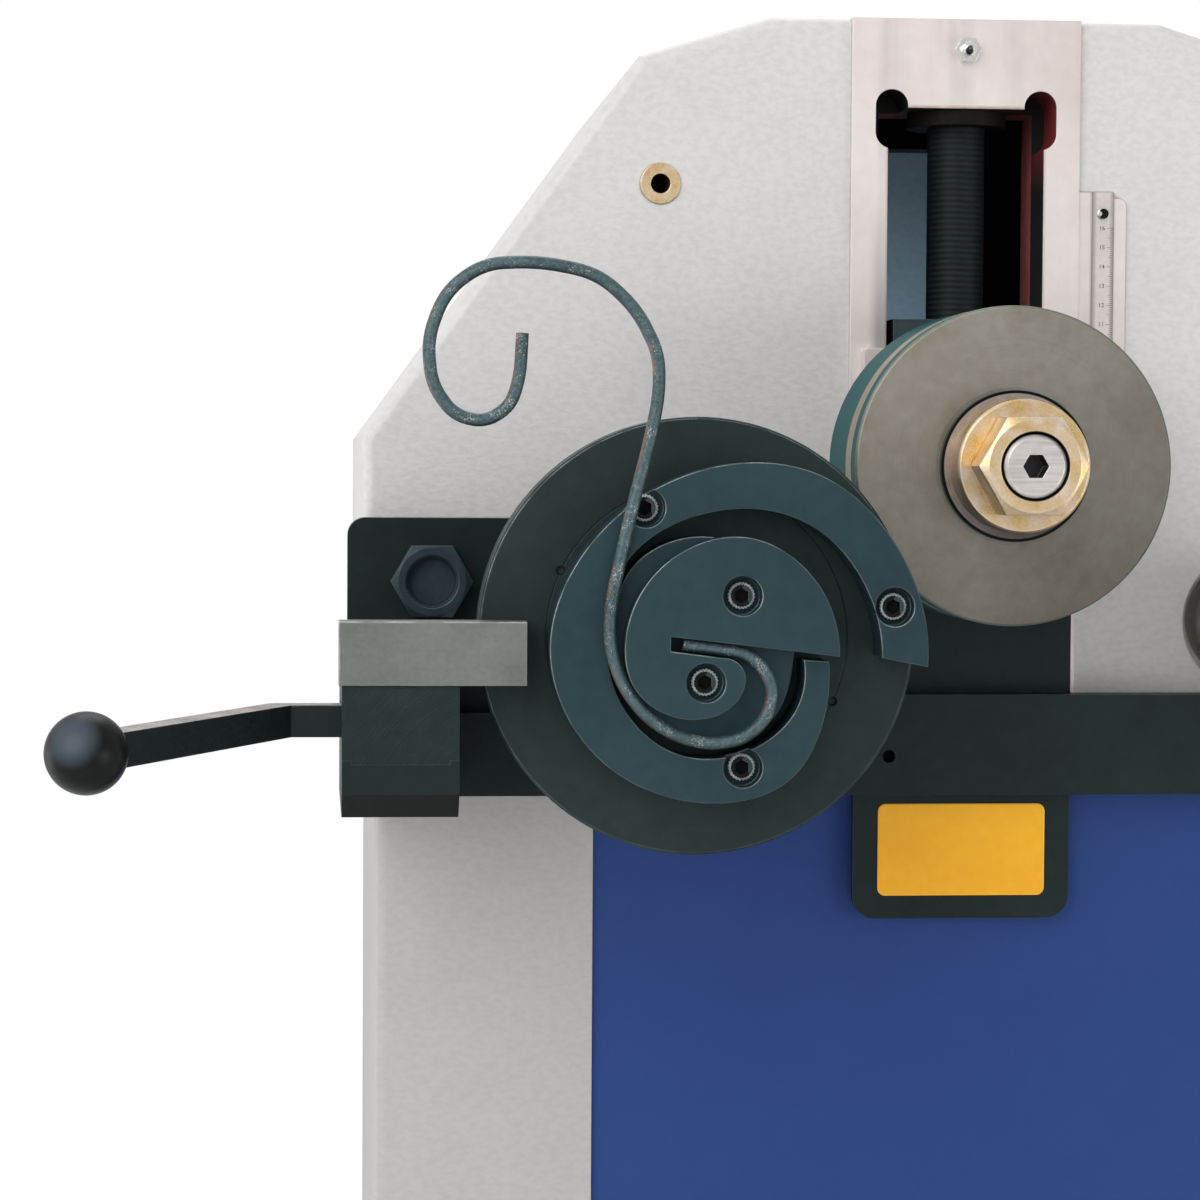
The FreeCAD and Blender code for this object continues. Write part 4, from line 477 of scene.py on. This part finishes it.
# The guide itself has soft upright streaks, and the walls of its slot are painted near black, a painted shade for the
# deep slot.
# Red primer was brushed into the reliefs at the top of the slot.
material, tree, shader = finish("guide_steel", 0.5, 0.65)
tones = use(tree, cloudy, Light=srgb(234, 226, 223), Dark=srgb(216, 204, 200), Scale=9.0, Speck=0.25)
streaks = use(tree, grained, Stretch=(1.0, 1.0, 0.035), Fineness=75.0)
shade = ramp(tree, streaks.outputs[0], 0.32, 0.52, To_Min=0.86)
drawn = dimmed(tree, tones.outputs["Color"], shade)
edges = use(tree, wear_and_glint, [("Color", drawn)], Bare=srgb(244, 240, 236), Width=0.0007, Amount=0.8)
spot = add(tree, "TexCoord")
place = add(tree, "SeparateXYZ", [("Vector", spot.outputs["Object"])])
# A painted shade: a soft grey band down the guide beside the left edge of the slot, strongest low down.
to_left = ramp(tree, place.outputs["X"], -0.0505, -0.046)
left_only = ramp(tree, place.outputs["X"], -0.02, -0.03)
lower = ramp(tree, place.outputs["Z"], 1.115, 1.045, To_Max=0.55)
painted_light_part = times(tree, to_left, left_only)
shade_band = times(tree, painted_light_part, lower)
shaded_guide = blend(tree, shade_band, edges.outputs["Color"], srgb(120, 120, 124))
off_middle = add(tree, "Math", [(0, place.outputs["X"])], operation="ABSOLUTE")
by_slot = ramp(tree, off_middle.outputs[0], 0.0424, 0.0402)
under = ramp(tree, place.outputs["Z"], 1.168, 1.166)
uneven = ramp(tree, tones.outputs["Value"], 0.35, 0.75, To_Max=0.8)
oily = times(tree, by_slot, under)
stain = times(tree, oily, uneven)
brown = blend(tree, stain, shaded_guide, srgb(150, 112, 88))
within = ramp(tree, off_middle.outputs[0], 0.052, 0.051)
below = ramp(tree, place.outputs["Z"], 1.186, 1.185)
deep = ramp(tree, place.outputs["Y"], -0.1495, -0.1485)
slot = times(tree, within, below)
wall = times(tree, slot, deep)
to_right = ramp(tree, place.outputs["X"], 0.03, 0.05)
high = ramp(tree, place.outputs["Z"], 1.125, 1.145)
brushed = times(tree, to_right, high)
# Slot walls: painted shade near black, with the red primer at the top right.
inner = blend(tree, brushed, srgb(20, 19, 18), srgb(134, 46, 48))
mixed = blend(tree, wall, brown, inner)
tree.links.new(mixed, shader.inputs["Base Color"])
bare = ramp(tree, wall, To_Min=0.65, To_Max=0.0)
tree.links.new(bare, shader.inputs["Metallic"])
lines = use(tree, grained, Stretch=(1.0, 1.0, 0.04), Fineness=600.0)
bump(tree, shader, lines.outputs[0], 0.25, 0.0003, edges)
dress(material, "slide_frame")

# The ruler is let in beside the guide, with a line of old grease down both joints.
# It has a line at each millimetre, a figure at each centimetre and a screw at each end.
RULER_MIDDLE = 0.0727
material, tree, shader = finish("ruler_steel", 0.42, 0.6)
tones = use(tree, cloudy, Light=srgb(226, 217, 214), Dark=srgb(206, 196, 193), Scale=30.0, Speck=0.4)
spot = add(tree, "TexCoord")
across = add(tree, "SeparateXYZ", [("Vector", spot.outputs["Object"])])
side = add(tree, "Math", [(0, across.outputs["X"])], operation="SUBTRACT")
side.inputs[1].default_value = RULER_MIDDLE
away = add(tree, "Math", [(0, side.outputs[0])], operation="ABSOLUTE")
joint = ramp(tree, away.outputs[0], 0.0032, 0.0058, To_Max=0.85)
mixed = blend(tree, joint, tones.outputs["Color"], srgb(132, 124, 126))
tree.links.new(mixed, shader.inputs["Base Color"])
lines = use(tree, grained, Stretch=(1.0, 1.0, 0.05), Fineness=700.0)
bump(tree, shader, lines.outputs[0], 0.2, 0.0003)
dress(material, "height_scale")

GUIDE_FACE = -0.15
SCALE_ZERO = 0.945
marks = []
for length, step, count in ((0.0018, 0.001, 161), (0.0028, 0.005, 33), (0.0036, 0.01, 17)):
    bpy.ops.object.select_all(action="DESELECT")
    bpy.ops.mesh.primitive_cube_add(size=1, location=(0.0783 - length / 2, GUIDE_FACE, SCALE_ZERO))
    mark = bpy.context.active_object
    bpy.ops.transform.resize(value=(length, 0.00006, 0.00018))
    bpy.ops.object.transform_apply(location=True, rotation=True, scale=True)
    rows = mark.modifiers.new("rows", "ARRAY")
    rows.use_relative_offset = False
    rows.use_constant_offset = True
    rows.constant_offset_displace = (0, 0, step)
    rows.count = count
    bpy.ops.object.modifier_apply(modifier=rows.name)
    marks.append(mark)
for index in range(17):
    bpy.ops.object.select_all(action="DESELECT")
    bpy.ops.object.text_add(rotation=(math.pi / 2, 0, 0), location=(0.0722, -0.15004, SCALE_ZERO + 0.01 * index))
    figure = bpy.context.active_object
    figure.data.body = str(index)
    figure.data.size = 0.0032
    figure.data.extrude = 0.00004
    figure.data.align_x = "CENTER"
    figure.data.align_y = "CENTER"
    bpy.ops.object.convert(target="MESH")
    marks.append(bpy.context.active_object)
bpy.ops.object.select_all(action="DESELECT")
for mark in marks:
    mark.select_set(True)
bpy.context.view_layer.objects.active = marks[0]
bpy.ops.object.transform_apply(location=True, rotation=True, scale=True)
bpy.ops.object.join()
ruler_marks = marks[0]
ruler_marks.name = "ruler_marks"
material, tree, shader = finish("etched_black", 0.6)
tones = use(tree, cloudy, Light=srgb(96, 92, 92), Dark=srgb(58, 56, 57), Scale=200.0, Speck=0.6)
tree.links.new(tones.outputs["Color"], shader.inputs["Base Color"])
ruler_marks.data.materials.append(material)
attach(ruler_marks, "frame")

ruler_screws = repeat(socket_screw(zinc_screw, 0.0033, 0.0012, 0.0016, 0.0006), "ruler_screws",
                      [(RULER_MIDDLE, GUIDE_FACE, z) for z in (1.1125, 0.9345)], (90, 0, 0))
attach(ruler_screws, "frame")

# ---------------------------------------------------------------- upper slide
# A steel block that runs in the slot on its keeper, and a second one behind it on a tube.
# Both are milled, and dark with slideway oil.
oiled_steel = bare_steel("oiled_steel", srgb(62, 76, 84), srgb(42, 54, 60), srgb(120, 128, 132), 0.4,
                         (0.05, 1.0, 1.0), metallic=0.4, gloss=0.3)
dress(oiled_steel, "carriage_block", "rear_slide_block", "thrust_cap")

# ---------------------------------------------------------------- spindle and nut
# A trapezoidal screw moves the slide: greased steel in a bronze nut, with a square for the crank on top.
# Its two-start thread of 6 mm lead shows as faint rings, 3 mm apart.
material, tree, shader = finish("greased_screw", 0.55, gloss=0.15)
tones = use(tree, cloudy, Light=srgb(30, 42, 46), Dark=srgb(20, 28, 31), Scale=14.0, Speck=0.4)
spot = add(tree, "TexCoord")
thread = add(tree, "TexWave", [("Vector", spot.outputs["Object"])], Scale=104.7, bands_direction="Z")
shade = blend(tree, thread.outputs["Color"], srgb(15, 18, 19), tones.outputs["Color"])
tree.links.new(shade, shader.inputs["Base Color"])
bump(tree, shader, thread.outputs["Color"], 0.25, 0.0004)
dress(material, "spindle")

bronze = bare_steel("bronze", srgb(176, 136, 84), srgb(140, 100, 58), srgb(215, 180, 120), 0.35, (1.0, 1.0, 0.1))
dress(bronze, "upper_bearings", "lower_bearings")
# The bronze nut is painted near black, a painted shade for the dark top of the slot.
shade_black_bronze = bare_steel("shade_black_bronze", srgb(20, 18, 16), srgb(12, 11, 10), srgb(30, 26, 20), 0.55,
                            (1.0, 1.0, 0.1), metallic=0.0, gloss=0.1)
dress(shade_black_bronze, "spindle_nut")

# ---------------------------------------------------------------- upper roll
# Three hardened rings side by side on the shaft, turned on their faces.
# Their rims are blackened with a teal cast, except the middle one, which the work keeps bright.
turned, start, end = effect("lathe_marks", {
    "Centre": ("Vector", (0.0, 0.0, 0.0)), "Fineness": ("Float", 900.0)},
    {"Value": "Float", "Radius": "Float", "Tangent": "Vector"})
spot = add(turned, "TexCoord")
arm = add(turned, "VectorMath", [(0, spot.outputs["Object"]), (1, start.outputs["Centre"])], operation="SUBTRACT")
flat = add(turned, "VectorMath", [(0, arm.outputs[0])], operation="MULTIPLY")
flat.inputs[1].default_value = (1, 0, 1)
radius = add(turned, "VectorMath", [(0, flat.outputs[0])], operation="LENGTH")
fine = times(turned, radius.outputs["Value"], start.outputs["Fineness"])
rings = add(turned, "TexNoise", [("W", fine)], noise_dimensions="1D", Detail=4.0, Roughness=0.7)
rings.inputs["Scale"].default_value = 1.0
around = add(turned, "VectorMath", [(0, flat.outputs[0])], operation="CROSS_PRODUCT")
around.inputs[1].default_value = (0, 1, 0)
turned.links.new(rings.outputs[0], end.inputs["Value"])
turned.links.new(radius.outputs["Value"], end.inputs["Radius"])
turned.links.new(around.outputs[0], end.inputs["Tangent"])


def lathe_steel(name, light, dark, bright, roughness, centre, rim=None, rim_colour=None, metallic=0.9, relief=0.2,
                scale=12.0, width=0.0008, edge_wear_and_glint=0.8, tilt=0.0, gloss=0.5, inner=0.0, face_rim=False):
    """Turned steel: cloudy tones, rings about the axis, bright edges, and another colour round the rim.

    Tilt paints the side away from the light above on the left darker and the side toward it lighter, a painted shade
    and highlight.
    Joints nearer to the axis than inner aren't worn. With face_rim, the rim's colour comes round onto the face.
    """
    material, tree, shader = finish(name, roughness, metallic, gloss=gloss)
    tones = use(tree, cloudy, Light=light, Dark=dark, Scale=scale, Speck=0.35)
    marks = use(tree, turned, Centre=centre)
    colour = tones.outputs["Color"]
    if tilt:
        slope = along(tree, marks.outputs["Tangent"], (-0.7, 0, -0.6))
        shade = ramp(tree, slope, -0.08, 0.08, To_Min=1 - tilt, To_Max=1 + tilt)
        colour = dimmed(tree, colour, shade)
    if rim:
        past = ramp(tree, marks.outputs["Radius"], rim - 0.0003, rim)
        spot = add(tree, "TexCoord")
        across = add(tree, "SeparateXYZ", [("Vector", spot.outputs["Normal"])])
        round_it = ramp(tree, across.outputs["Y"], -0.8, -0.5, To_Min=1.0 if face_rim else 0.0)
        side = times(tree, past, round_it)
        colour = blend(tree, side, colour, rim_colour)
    edges = use(tree, wear_and_glint, [("Color", colour)], Bare=bright, Width=width, Amount=edge_wear_and_glint)
    if inner:
        outside = ramp(tree, marks.outputs["Radius"], inner - 0.001, inner, To_Max=edge_wear_and_glint)
        tree.links.new(outside, edges.inputs["Amount"])
    tree.links.new(edges.outputs["Color"], shader.inputs["Base Color"])
    sheen = ramp(tree, marks.outputs["Value"], 0.3, 0.7, To_Min=roughness - 0.06, To_Max=roughness + 0.1)
    tree.links.new(sheen, shader.inputs["Roughness"])
    bump(tree, shader, marks.outputs["Value"], relief, 0.0002, edges)
    return material


UPPER = (0.0, 0.0, 0.981)
# The roll's faces carry a painted highlight toward the upper left and painted shade away from it.
roll_steel = lathe_steel("roll_steel", srgb(141, 138, 132), srgb(122, 116, 103), srgb(190, 172, 150), 0.45, UPPER,
                         0.0768, srgb(14, 98, 102), tilt=0.38, relief=0.35)
dress(roll_steel, "roll_flanges")
band_steel = lathe_steel("band_steel", srgb(190, 172, 152), srgb(160, 144, 126), srgb(220, 205, 185), 0.35, UPPER)
dress(band_steel, "roll_middle")
shaft_steel = lathe_steel("shaft_steel", srgb(205, 200, 194), srgb(185, 180, 175), srgb(235, 230, 225), 0.35, UPPER)
dress(shaft_steel, "lower_left_shaft", "lower_right_shaft", "lever_pin", "bearing_covers")

# The end of the upper shaft is faced on a mill, and the socket in it is painted near black, a painted shade for the
# deep hole.
material, tree, shader = finish("upper_shaft_steel", 0.34, 0.85)
tones = use(tree, cloudy, Light=srgb(232, 227, 224), Dark=srgb(214, 207, 203), Scale=14.0, Speck=0.4)
cuts = use(tree, grained, Stretch=(0.05, 1.0, 1.0), Fineness=700.0)
streaks = ramp(tree, cuts.outputs[0], 0.35, 0.6, To_Min=0.8)
milled = dimmed(tree, tones.outputs["Color"], streaks)
marks = use(tree, turned, Centre=UPPER)
spot = add(tree, "TexCoord")
lengthwise = add(tree, "SeparateXYZ", [("Vector", spot.outputs["Object"])])
near = ramp(tree, marks.outputs["Radius"], 0.0092, 0.0088)
deep = ramp(tree, lengthwise.outputs["Y"], -0.3268, -0.3262)
painted_shade = times(tree, near, deep)
mixed = blend(tree, painted_shade, milled, srgb(12, 14, 14))
edges = use(tree, wear_and_glint, [("Color", mixed)], Bare=srgb(240, 236, 232), Width=0.0006, Amount=0.7)
tree.links.new(edges.outputs["Color"], shader.inputs["Base Color"])
bare = ramp(tree, painted_shade, To_Min=0.85, To_Max=0.0)
tree.links.new(bare, shader.inputs["Metallic"])
bump(tree, shader, cuts.outputs[0], 0.35, 0.0003, edges)
dress(material, "upper_shaft")
# The washer is painted lighter on the upper left and darker on the lower right, and its rim near black, as painted
# light and shadow.
washer_steel = lathe_steel("washer_steel", srgb(158, 148, 143), srgb(108, 100, 95), srgb(60, 70, 70), 0.28, UPPER,
                           0.0352, srgb(16, 24, 25), edge_wear_and_glint=0.0, tilt=1.5, face_rim=True)
dress(washer_steel, "retaining_washer")

# ---------------------------------------------------------------- collar, nut and plated fittings
# Zinc-plated and yellow-passivated steel, whose film shifts between straw, pink and olive.
# A long collar and an M30 nut hold the roll on its shaft.
material, tree, shader = finish("yellow_zinc", 0.28, 0.9)
straw = use(tree, cloudy, Light=srgb(236, 208, 138), Dark=srgb(214, 168, 92), Scale=40.0, Speck=0.5)
pink = use(tree, cloudy, Light=srgb(238, 226, 222), Dark=srgb(216, 192, 156), Scale=60.0, Speck=0.5)
film_and_sheen = use(tree, cloudy, Light=srgb(255, 255, 255), Dark=srgb(0, 0, 0), Scale=110.0, Speck=0.35)
mixed = blend(tree, film_and_sheen.outputs["Value"], straw.outputs["Color"], pink.outputs["Color"])
# Painted shade: faces that point down and to the left are darker.
spot = add(tree, "TexCoord")
below = along(tree, spot.outputs["Normal"], (-0.3, 0, -0.95))
underside_shade = ramp(tree, below, 0.05, 0.8, To_Min=1.0, To_Max=0.12)
underside_shaded = dimmed(tree, mixed, underside_shade)
# A painted shadow: a dark ring round the mouth of the bore.
marks = use(tree, turned, Centre=UPPER)
mouth = ramp(tree, marks.outputs["Radius"], 0.0167, 0.0164)
dark = blend(tree, mouth, underside_shaded, srgb(22, 22, 20))
edges = use(tree, wear_and_glint, [("Color", dark)], Bare=srgb(240, 226, 220), Width=0.0008, Amount=0.9)
tree.links.new(edges.outputs["Color"], shader.inputs["Base Color"])
gloss = ramp(tree, film_and_sheen.outputs["Value"], To_Min=0.24, To_Max=0.42)
tree.links.new(gloss, shader.inputs["Roughness"])
bump(tree, shader, film_and_sheen.outputs["Value"], 0.12, 0.0003, edges)
yellow_zinc = material
dress(yellow_zinc, "spacer_collar", "upper_nut", "threaded_inserts")

# The grease nipple is zinc plated too, and the dimple over its ball valve is painted dark, a painted shade.
material, tree, shader = finish("nipple_zinc", 0.24, 0.85)
tones = use(tree, cloudy, Light=srgb(240, 239, 236), Dark=srgb(214, 214, 212), Scale=90.0, Speck=0.4)
spot = add(tree, "TexCoord")
toward = add(tree, "VectorMath", [(0, spot.outputs["Object"])], operation="DISTANCE")
toward.inputs[1].default_value = (-0.0004, -0.159, 1.1948)
dimple = ramp(tree, toward.outputs["Value"], 0.0024, 0.0018)
mixed = blend(tree, dimple, tones.outputs["Color"], srgb(20, 26, 28))
edges = use(tree, wear_and_glint, [("Color", mixed)], Bare=srgb(250, 249, 247), Width=0.0004, Amount=0.8)
tree.links.new(edges.outputs["Color"], shader.inputs["Base Color"])
tree.links.new(edges.outputs["Normal"], shader.inputs["Normal"])
dress(material, "grease_nipple")

# ---------------------------------------------------------------- scroll former
# Disc, hub, spiral segment, middle plate and centre former, milled from plate and blackened in salts.
# Handling has worn their edges bright, and the edges that face up and left are painted brighter, a painted highlight.
LEFT = (-0.1565, 0.0, 0.9)
for name, light, dark, pieces in (
        ("blackened_disc", (43, 55, 55), (32, 42, 43), ("scroll_disc", "scroll_hub", "disc_pins")),
        ("blackened_segment", (45, 68, 73), (37, 56, 61), ("spiral_segment", "middle_plate")),
        ("blackened_former", (48, 70, 75), (40, 60, 65), ("centre_former",))):
    dress(lathe_steel(name, srgb(*light), srgb(*dark), srgb(186, 198, 198), 0.45, LEFT, metallic=0.3, relief=0.08,
                      edge_wear_and_glint=1.0, width=0.0011, scale=10.0, gloss=0.2,
                      inner=0.099 if name == "blackened_disc" else 0.0), *pieces)

# Five socket-head screws hold the stack to the hub; their knurled rims are painted bright, a painted highlight.
screw_steel = bare_steel("screw_steel", srgb(64, 77, 79), srgb(38, 48, 50), srgb(190, 200, 200), 0.45,
                         (1.0, 0.1, 1.0), edge_wear_and_glint=0.6, width=0.0003, metallic=0.0, gloss=0.25)
glint_rim = bare_steel("glint_rim", srgb(214, 222, 224), srgb(104, 118, 122), srgb(250, 250, 250), 0.4,
                        (1.0, 1.0, 1.0), fineness=900.0, scale=220.0, edge_wear_and_glint=0.8, width=0.0003, metallic=0.0,
                        speck=0.5, gloss=0.25)
scroll_screws = repeat(
    socket_screw((screw_steel, socket_shade, glint_rim), 0.0065, 0.008, 0.0062, 0.0009, 24), "scroll_screws",
    [(-0.18365, -0.3196, 0.9607), (-0.06655, -0.3196, 0.91505), (-0.13742, -0.3196, 0.83985),
     (-0.13923, -0.3286, 0.92036), (-0.15608, -0.3286, 0.8801)], (90, 0, 0))
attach(scroll_screws, "scroll_former")
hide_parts("former_screws")

# ---------------------------------------------------------------- bent bar
# A 6 mm mild-steel bar, hot rolled: blue-grey scale with rust flecks, bright where the former rubbed it.
# It is bent into an S and clamped by its end in the former's slot.
material, tree, shader = finish("rolled_bar", 0.42, 0.4)
scale = use(tree, cloudy, Light=srgb(84, 106, 110), Dark=srgb(44, 66, 71), Scale=40.0, Speck=0.6)
rust = use(tree, cloudy, Light=srgb(255, 255, 255), Dark=srgb(0, 0, 0), Scale=45.0, Speck=0.45)
spot = add(tree, "TexCoord")
below = along(tree, spot.outputs["Normal"], (0.3, 0.1, -0.95))
shaded = ramp(tree, below, 0.0, 0.75, To_Min=1.0, To_Max=0.3)
tones = dimmed(tree, scale.outputs["Color"], shaded)
# Rust flecks, painted only on the side that faces left, where they also stand for a warm painted reflection.
inner = along(tree, spot.outputs["Normal"], (-0.93, -0.36, 0))
side = ramp(tree, inner, 0.72, 0.98)
flecks = ramp(tree, rust.outputs["Value"], 0.35, 0.8, To_Max=0.9)
rust_and_reflection = times(tree, side, flecks)
mixed = blend(tree, rust_and_reflection, tones, srgb(146, 104, 84))
rubs = use(tree, cloudy, Light=srgb(255, 255, 255), Dark=srgb(0, 0, 0), Scale=110.0, Speck=0.6)
bright = ramp(tree, rubs.outputs["Value"], 0.72, 0.95, To_Max=0.7)
speckled = blend(tree, bright, mixed, srgb(196, 196, 188))
tree.links.new(speckled, shader.inputs["Base Color"])
bump(tree, shader, rubs.outputs["Value"], 0.4, 0.0003)
dress(material, "scroll_bar")

# ---------------------------------------------------------------- bracket, rail and clamp blocks
# The attachment's bracket and blocks, sawn and milled, then blackened.
# The cutter's slanting rows still show on the support block.
block_steel = bare_steel("block_steel", srgb(32, 43, 43), srgb(21, 30, 30), srgb(122, 140, 136), 0.42,
                         (0.5, 1.0, 1.0), metallic=0.25, relief=0.2, width=0.0005, edge_wear_and_glint=0.6, gloss=0.2)
dress(block_steel, "bracket_plate", "bracket_screws", "guide_rail", "guard_plate")

# The carrier is blackened too, and its underside and chamfer are painted near black, a painted shade.
carrier_steel = bare_steel("carrier_steel", srgb(29, 40, 40), srgb(21, 30, 30), srgb(122, 140, 136), 0.42,
                           (0.5, 1.0, 1.0), metallic=0.25, relief=0.2, width=0.0005, edge_wear_and_glint=0.6, gloss=0.2)
tree = carrier_steel.node_tree
colour = tree.nodes["Principled BSDF"].inputs["Base Color"]
spot = add(tree, "TexCoord")
slope = add(tree, "SeparateXYZ", [("Vector", spot.outputs["Normal"])])
under = ramp(tree, slope.outputs["Z"], -0.2, -0.5)
shaded = blend(tree, under, colour.links[0].from_socket, srgb(15, 19, 17))
tree.links.new(shaded, colour)
dress(carrier_steel, "carrier_block")

# The studs and their nuts keep a bluer scale.
nut_steel = bare_steel("nut_steel", srgb(56, 74, 80), srgb(38, 52, 57), srgb(140, 156, 158), 0.4,
                       (1.0, 0.2, 1.0), metallic=0.4, edge_wear_and_glint=0.9, gloss=0.25)
dress(nut_steel, "bracket_studs", "bracket_nuts")

# Hands have rubbed the upper side of the lever bare, and it is painted paler still, a painted highlight where it
# faces up.
lever_steel = bare_steel("lever_steel", srgb(30, 38, 38), srgb(20, 27, 27), srgb(128, 134, 130), 0.4,
                         (1.0, 0.2, 1.0), metallic=0.25, edge_wear_and_glint=1.0, width=0.0011, gloss=0.25)
tree = lever_steel.node_tree
colour = tree.nodes["Principled BSDF"].inputs["Base Color"]
rubs = use(tree, cloudy, Light=srgb(196, 187, 180), Dark=srgb(112, 112, 109), Scale=45.0, Speck=0.5)
spot = add(tree, "TexCoord")
slope = add(tree, "SeparateXYZ", [("Vector", spot.outputs["Normal"])])
top = ramp(tree, slope.outputs["Z"], 0.6, 0.9, To_Max=0.8)
painted_light_part = blend(tree, top, colour.links[0].from_socket, rubs.outputs["Color"])
tree.links.new(painted_light_part, colour)
dress(lever_steel, "clamp_lever")

# The support block shows the cutter's rows as arcs about a point below it.
milled_steel = lathe_steel("milled_steel", srgb(34, 48, 49), srgb(22, 33, 34), srgb(120, 134, 132), 0.42,
                           (-0.235, 0.0, 0.80), metallic=0.3, relief=1.0, width=0.0005, edge_wear_and_glint=0.25, gloss=0.25)
dress(milled_steel, "support_block")

# ---------------------------------------------------------------- blank plate
# A thin amber enamelled plate stuck on the guard below the bracket, left blank.
# It is sheared from sheet, with its corners rounded.
bpy.ops.object.select_all(action="DESELECT")
bpy.ops.mesh.primitive_plane_add(size=1, rotation=(math.pi / 2, 0, 0), location=(0, -0.155, 0.781))
blank_plate = bpy.context.active_object
blank_plate.name = "blank_plate"
blank_plate.scale = (0.088, 0.048, 1)
bpy.ops.object.transform_apply(location=True, rotation=True, scale=True)
bpy.ops.object.mode_set(mode="EDIT")
bpy.ops.mesh.select_all(action="SELECT")
bpy.ops.mesh.bevel(offset=0.004, segments=6, affect="VERTICES")
bpy.ops.mesh.select_mode(type="FACE")
bpy.ops.mesh.select_all(action="SELECT")
bpy.ops.mesh.extrude_region_move(TRANSFORM_OT_translate={"value": (0, -0.0007, 0)})
bpy.ops.mesh.inset(thickness=0.0006)
bpy.ops.transform.translate(value=(0, -0.0002, 0))
bpy.ops.mesh.select_all(action="SELECT")
bpy.ops.mesh.normals_make_consistent(inside=False)
bpy.ops.object.mode_set(mode="OBJECT")
material, tree, shader = finish("amber_enamel", 0.38)
tones = use(tree, cloudy, Light=srgb(253, 186, 8), Dark=srgb(243, 170, 4), Scale=14.0, Speck=0.35)
edges = use(tree, wear_and_glint, [("Color", tones.outputs["Color"])], Bare=srgb(205, 190, 150), Width=0.0006, Amount=0.7)
tree.links.new(edges.outputs["Color"], shader.inputs["Base Color"])
scuffs = use(tree, grained, Stretch=(1.0, 1.0, 0.2), Fineness=260.0)
bump(tree, shader, scuffs.outputs[0], 0.1, 0.0002)
blank_plate.data.materials.append(material)
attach(blank_plate, "frame")

# ---------------------------------------------------------------- pressure bar
# A square bar of bright steel that bears on the work, stoned smooth, with scuffed edges.
bright_bar = bare_steel("bright_bar", srgb(124, 129, 123), srgb(106, 111, 105), srgb(240, 232, 226), 0.46,
                        (0.6, 1.0, 1.0), scale=30.0, metallic=0.7, edge_wear_and_glint=1.0, width=0.0014, relief=0.1)
dress(bright_bar, "pressure_bar")

# ---------------------------------------------------------------- ball
# A black phenolic ball, moulded on a threaded insert and polished by hands.
# A soft grey-blue patch is painted on the side that faces up and out, a painted highlight.
material, tree, shader = finish("phenolic_ball", 0.34, gloss=0.16)
tones = use(tree, cloudy, Light=srgb(13, 17, 16), Dark=srgb(8, 10, 10), Scale=30.0, Speck=0.5)
spot = add(tree, "TexCoord")
toward_light = along(tree, spot.outputs["Normal"], (-0.3, -0.85, 0.43))
film_and_sheen = ramp(tree, toward_light, 0.68, 1.0, interpolation_type="SMOOTHSTEP")
sheened_ball = blend(tree, film_and_sheen, tones.outputs["Color"], srgb(68, 79, 88))
tree.links.new(sheened_ball, shader.inputs["Base Color"])
dress(material, "ball_knob")

# ---------------------------------------------------------------- drive
# Two spur gears and a pinion behind the rear plate, a cast gearbox and its painted motor.
gear_steel = bare_steel("gear_steel", srgb(122, 122, 120), srgb(84, 86, 88), srgb(180, 180, 176), 0.35,
                        (1.0, 0.05, 1.0))
dress(gear_steel, "lower_left_gear", "lower_right_gear", "drive_pinion")
cast_paint = powder_paint("cast_gearbox", srgb(150, 154, 158), srgb(130, 134, 138), srgb(180, 182, 184), 0.6, 0.5)
dress(cast_paint, "gearbox")
motor_paint = powder_paint("motor_paint", srgb(72, 84, 100), srgb(60, 72, 88), srgb(120, 128, 138), 0.4, 0.45)
dress(motor_paint, "motor")

# ---------------------------------------------------------------- control box
# A grey plastic box on the right cover, with a red, a black and a green push button.
box_plastic = powder_paint("box_plastic", srgb(196, 194, 186), srgb(188, 186, 178), srgb(214, 212, 206), 0.15, 0.5)
tree = box_plastic.node_tree
colour = tree.nodes["Principled BSDF"].inputs["Base Color"]
spot = add(tree, "TexCoord")
depth = add(tree, "SeparateXYZ", [("Vector", spot.outputs["Object"])])
from_lid = add(tree, "Math", [(0, depth.outputs["Y"])], operation="ADD")
from_lid.inputs[1].default_value = 0.047
away = add(tree, "Math", [(0, from_lid.outputs[0])], operation="ABSOLUTE")
joint = ramp(tree, away.outputs[0], 0.0006, 0.0004)
lidded = blend(tree, joint, colour.links[0].from_socket, srgb(58, 57, 54))
tree.links.new(lidded, colour)
dress(box_plastic, "switch_box")

# The lid is held by a screw at each corner, and each button comes through a plated ring.
LID_FACE = -0.06
lid_screws = repeat(socket_screw(zinc_screw, 0.003, 0.0012, 0.002, 0.0005), "lid_screws",
                    [(x, LID_FACE, z) for x in (0.3175, 0.3485) for z in (0.8655, 0.9645)], (90, 0, 0))
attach(lid_screws, "frame")
button_rings = repeat(
    socket_screw((bright_zinc,) * 3, 0.0125, 0.0018, 0.0196, 0.0008, sides=48, reach=1.8), "button_rings",
    [(0.333, LID_FACE, z) for z in (0.881, 0.915, 0.949)], (90, 0, 0))
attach(button_rings, "frame")
for name, tone in (("button_stop", (172, 30, 26)), ("button_reverse", (30, 31, 33)),
                   ("button_forward", (30, 120, 60))):
    material, tree, shader = finish(name + "_plastic", 0.28, coat=0.3)
    tones = use(tree, cloudy, Light=srgb(*tone), Dark=srgb(*(c * 0.85 for c in tone)), Scale=40.0, Speck=0.5)
    tree.links.new(tones.outputs["Color"], shader.inputs["Base Color"])
    dress(material, name)
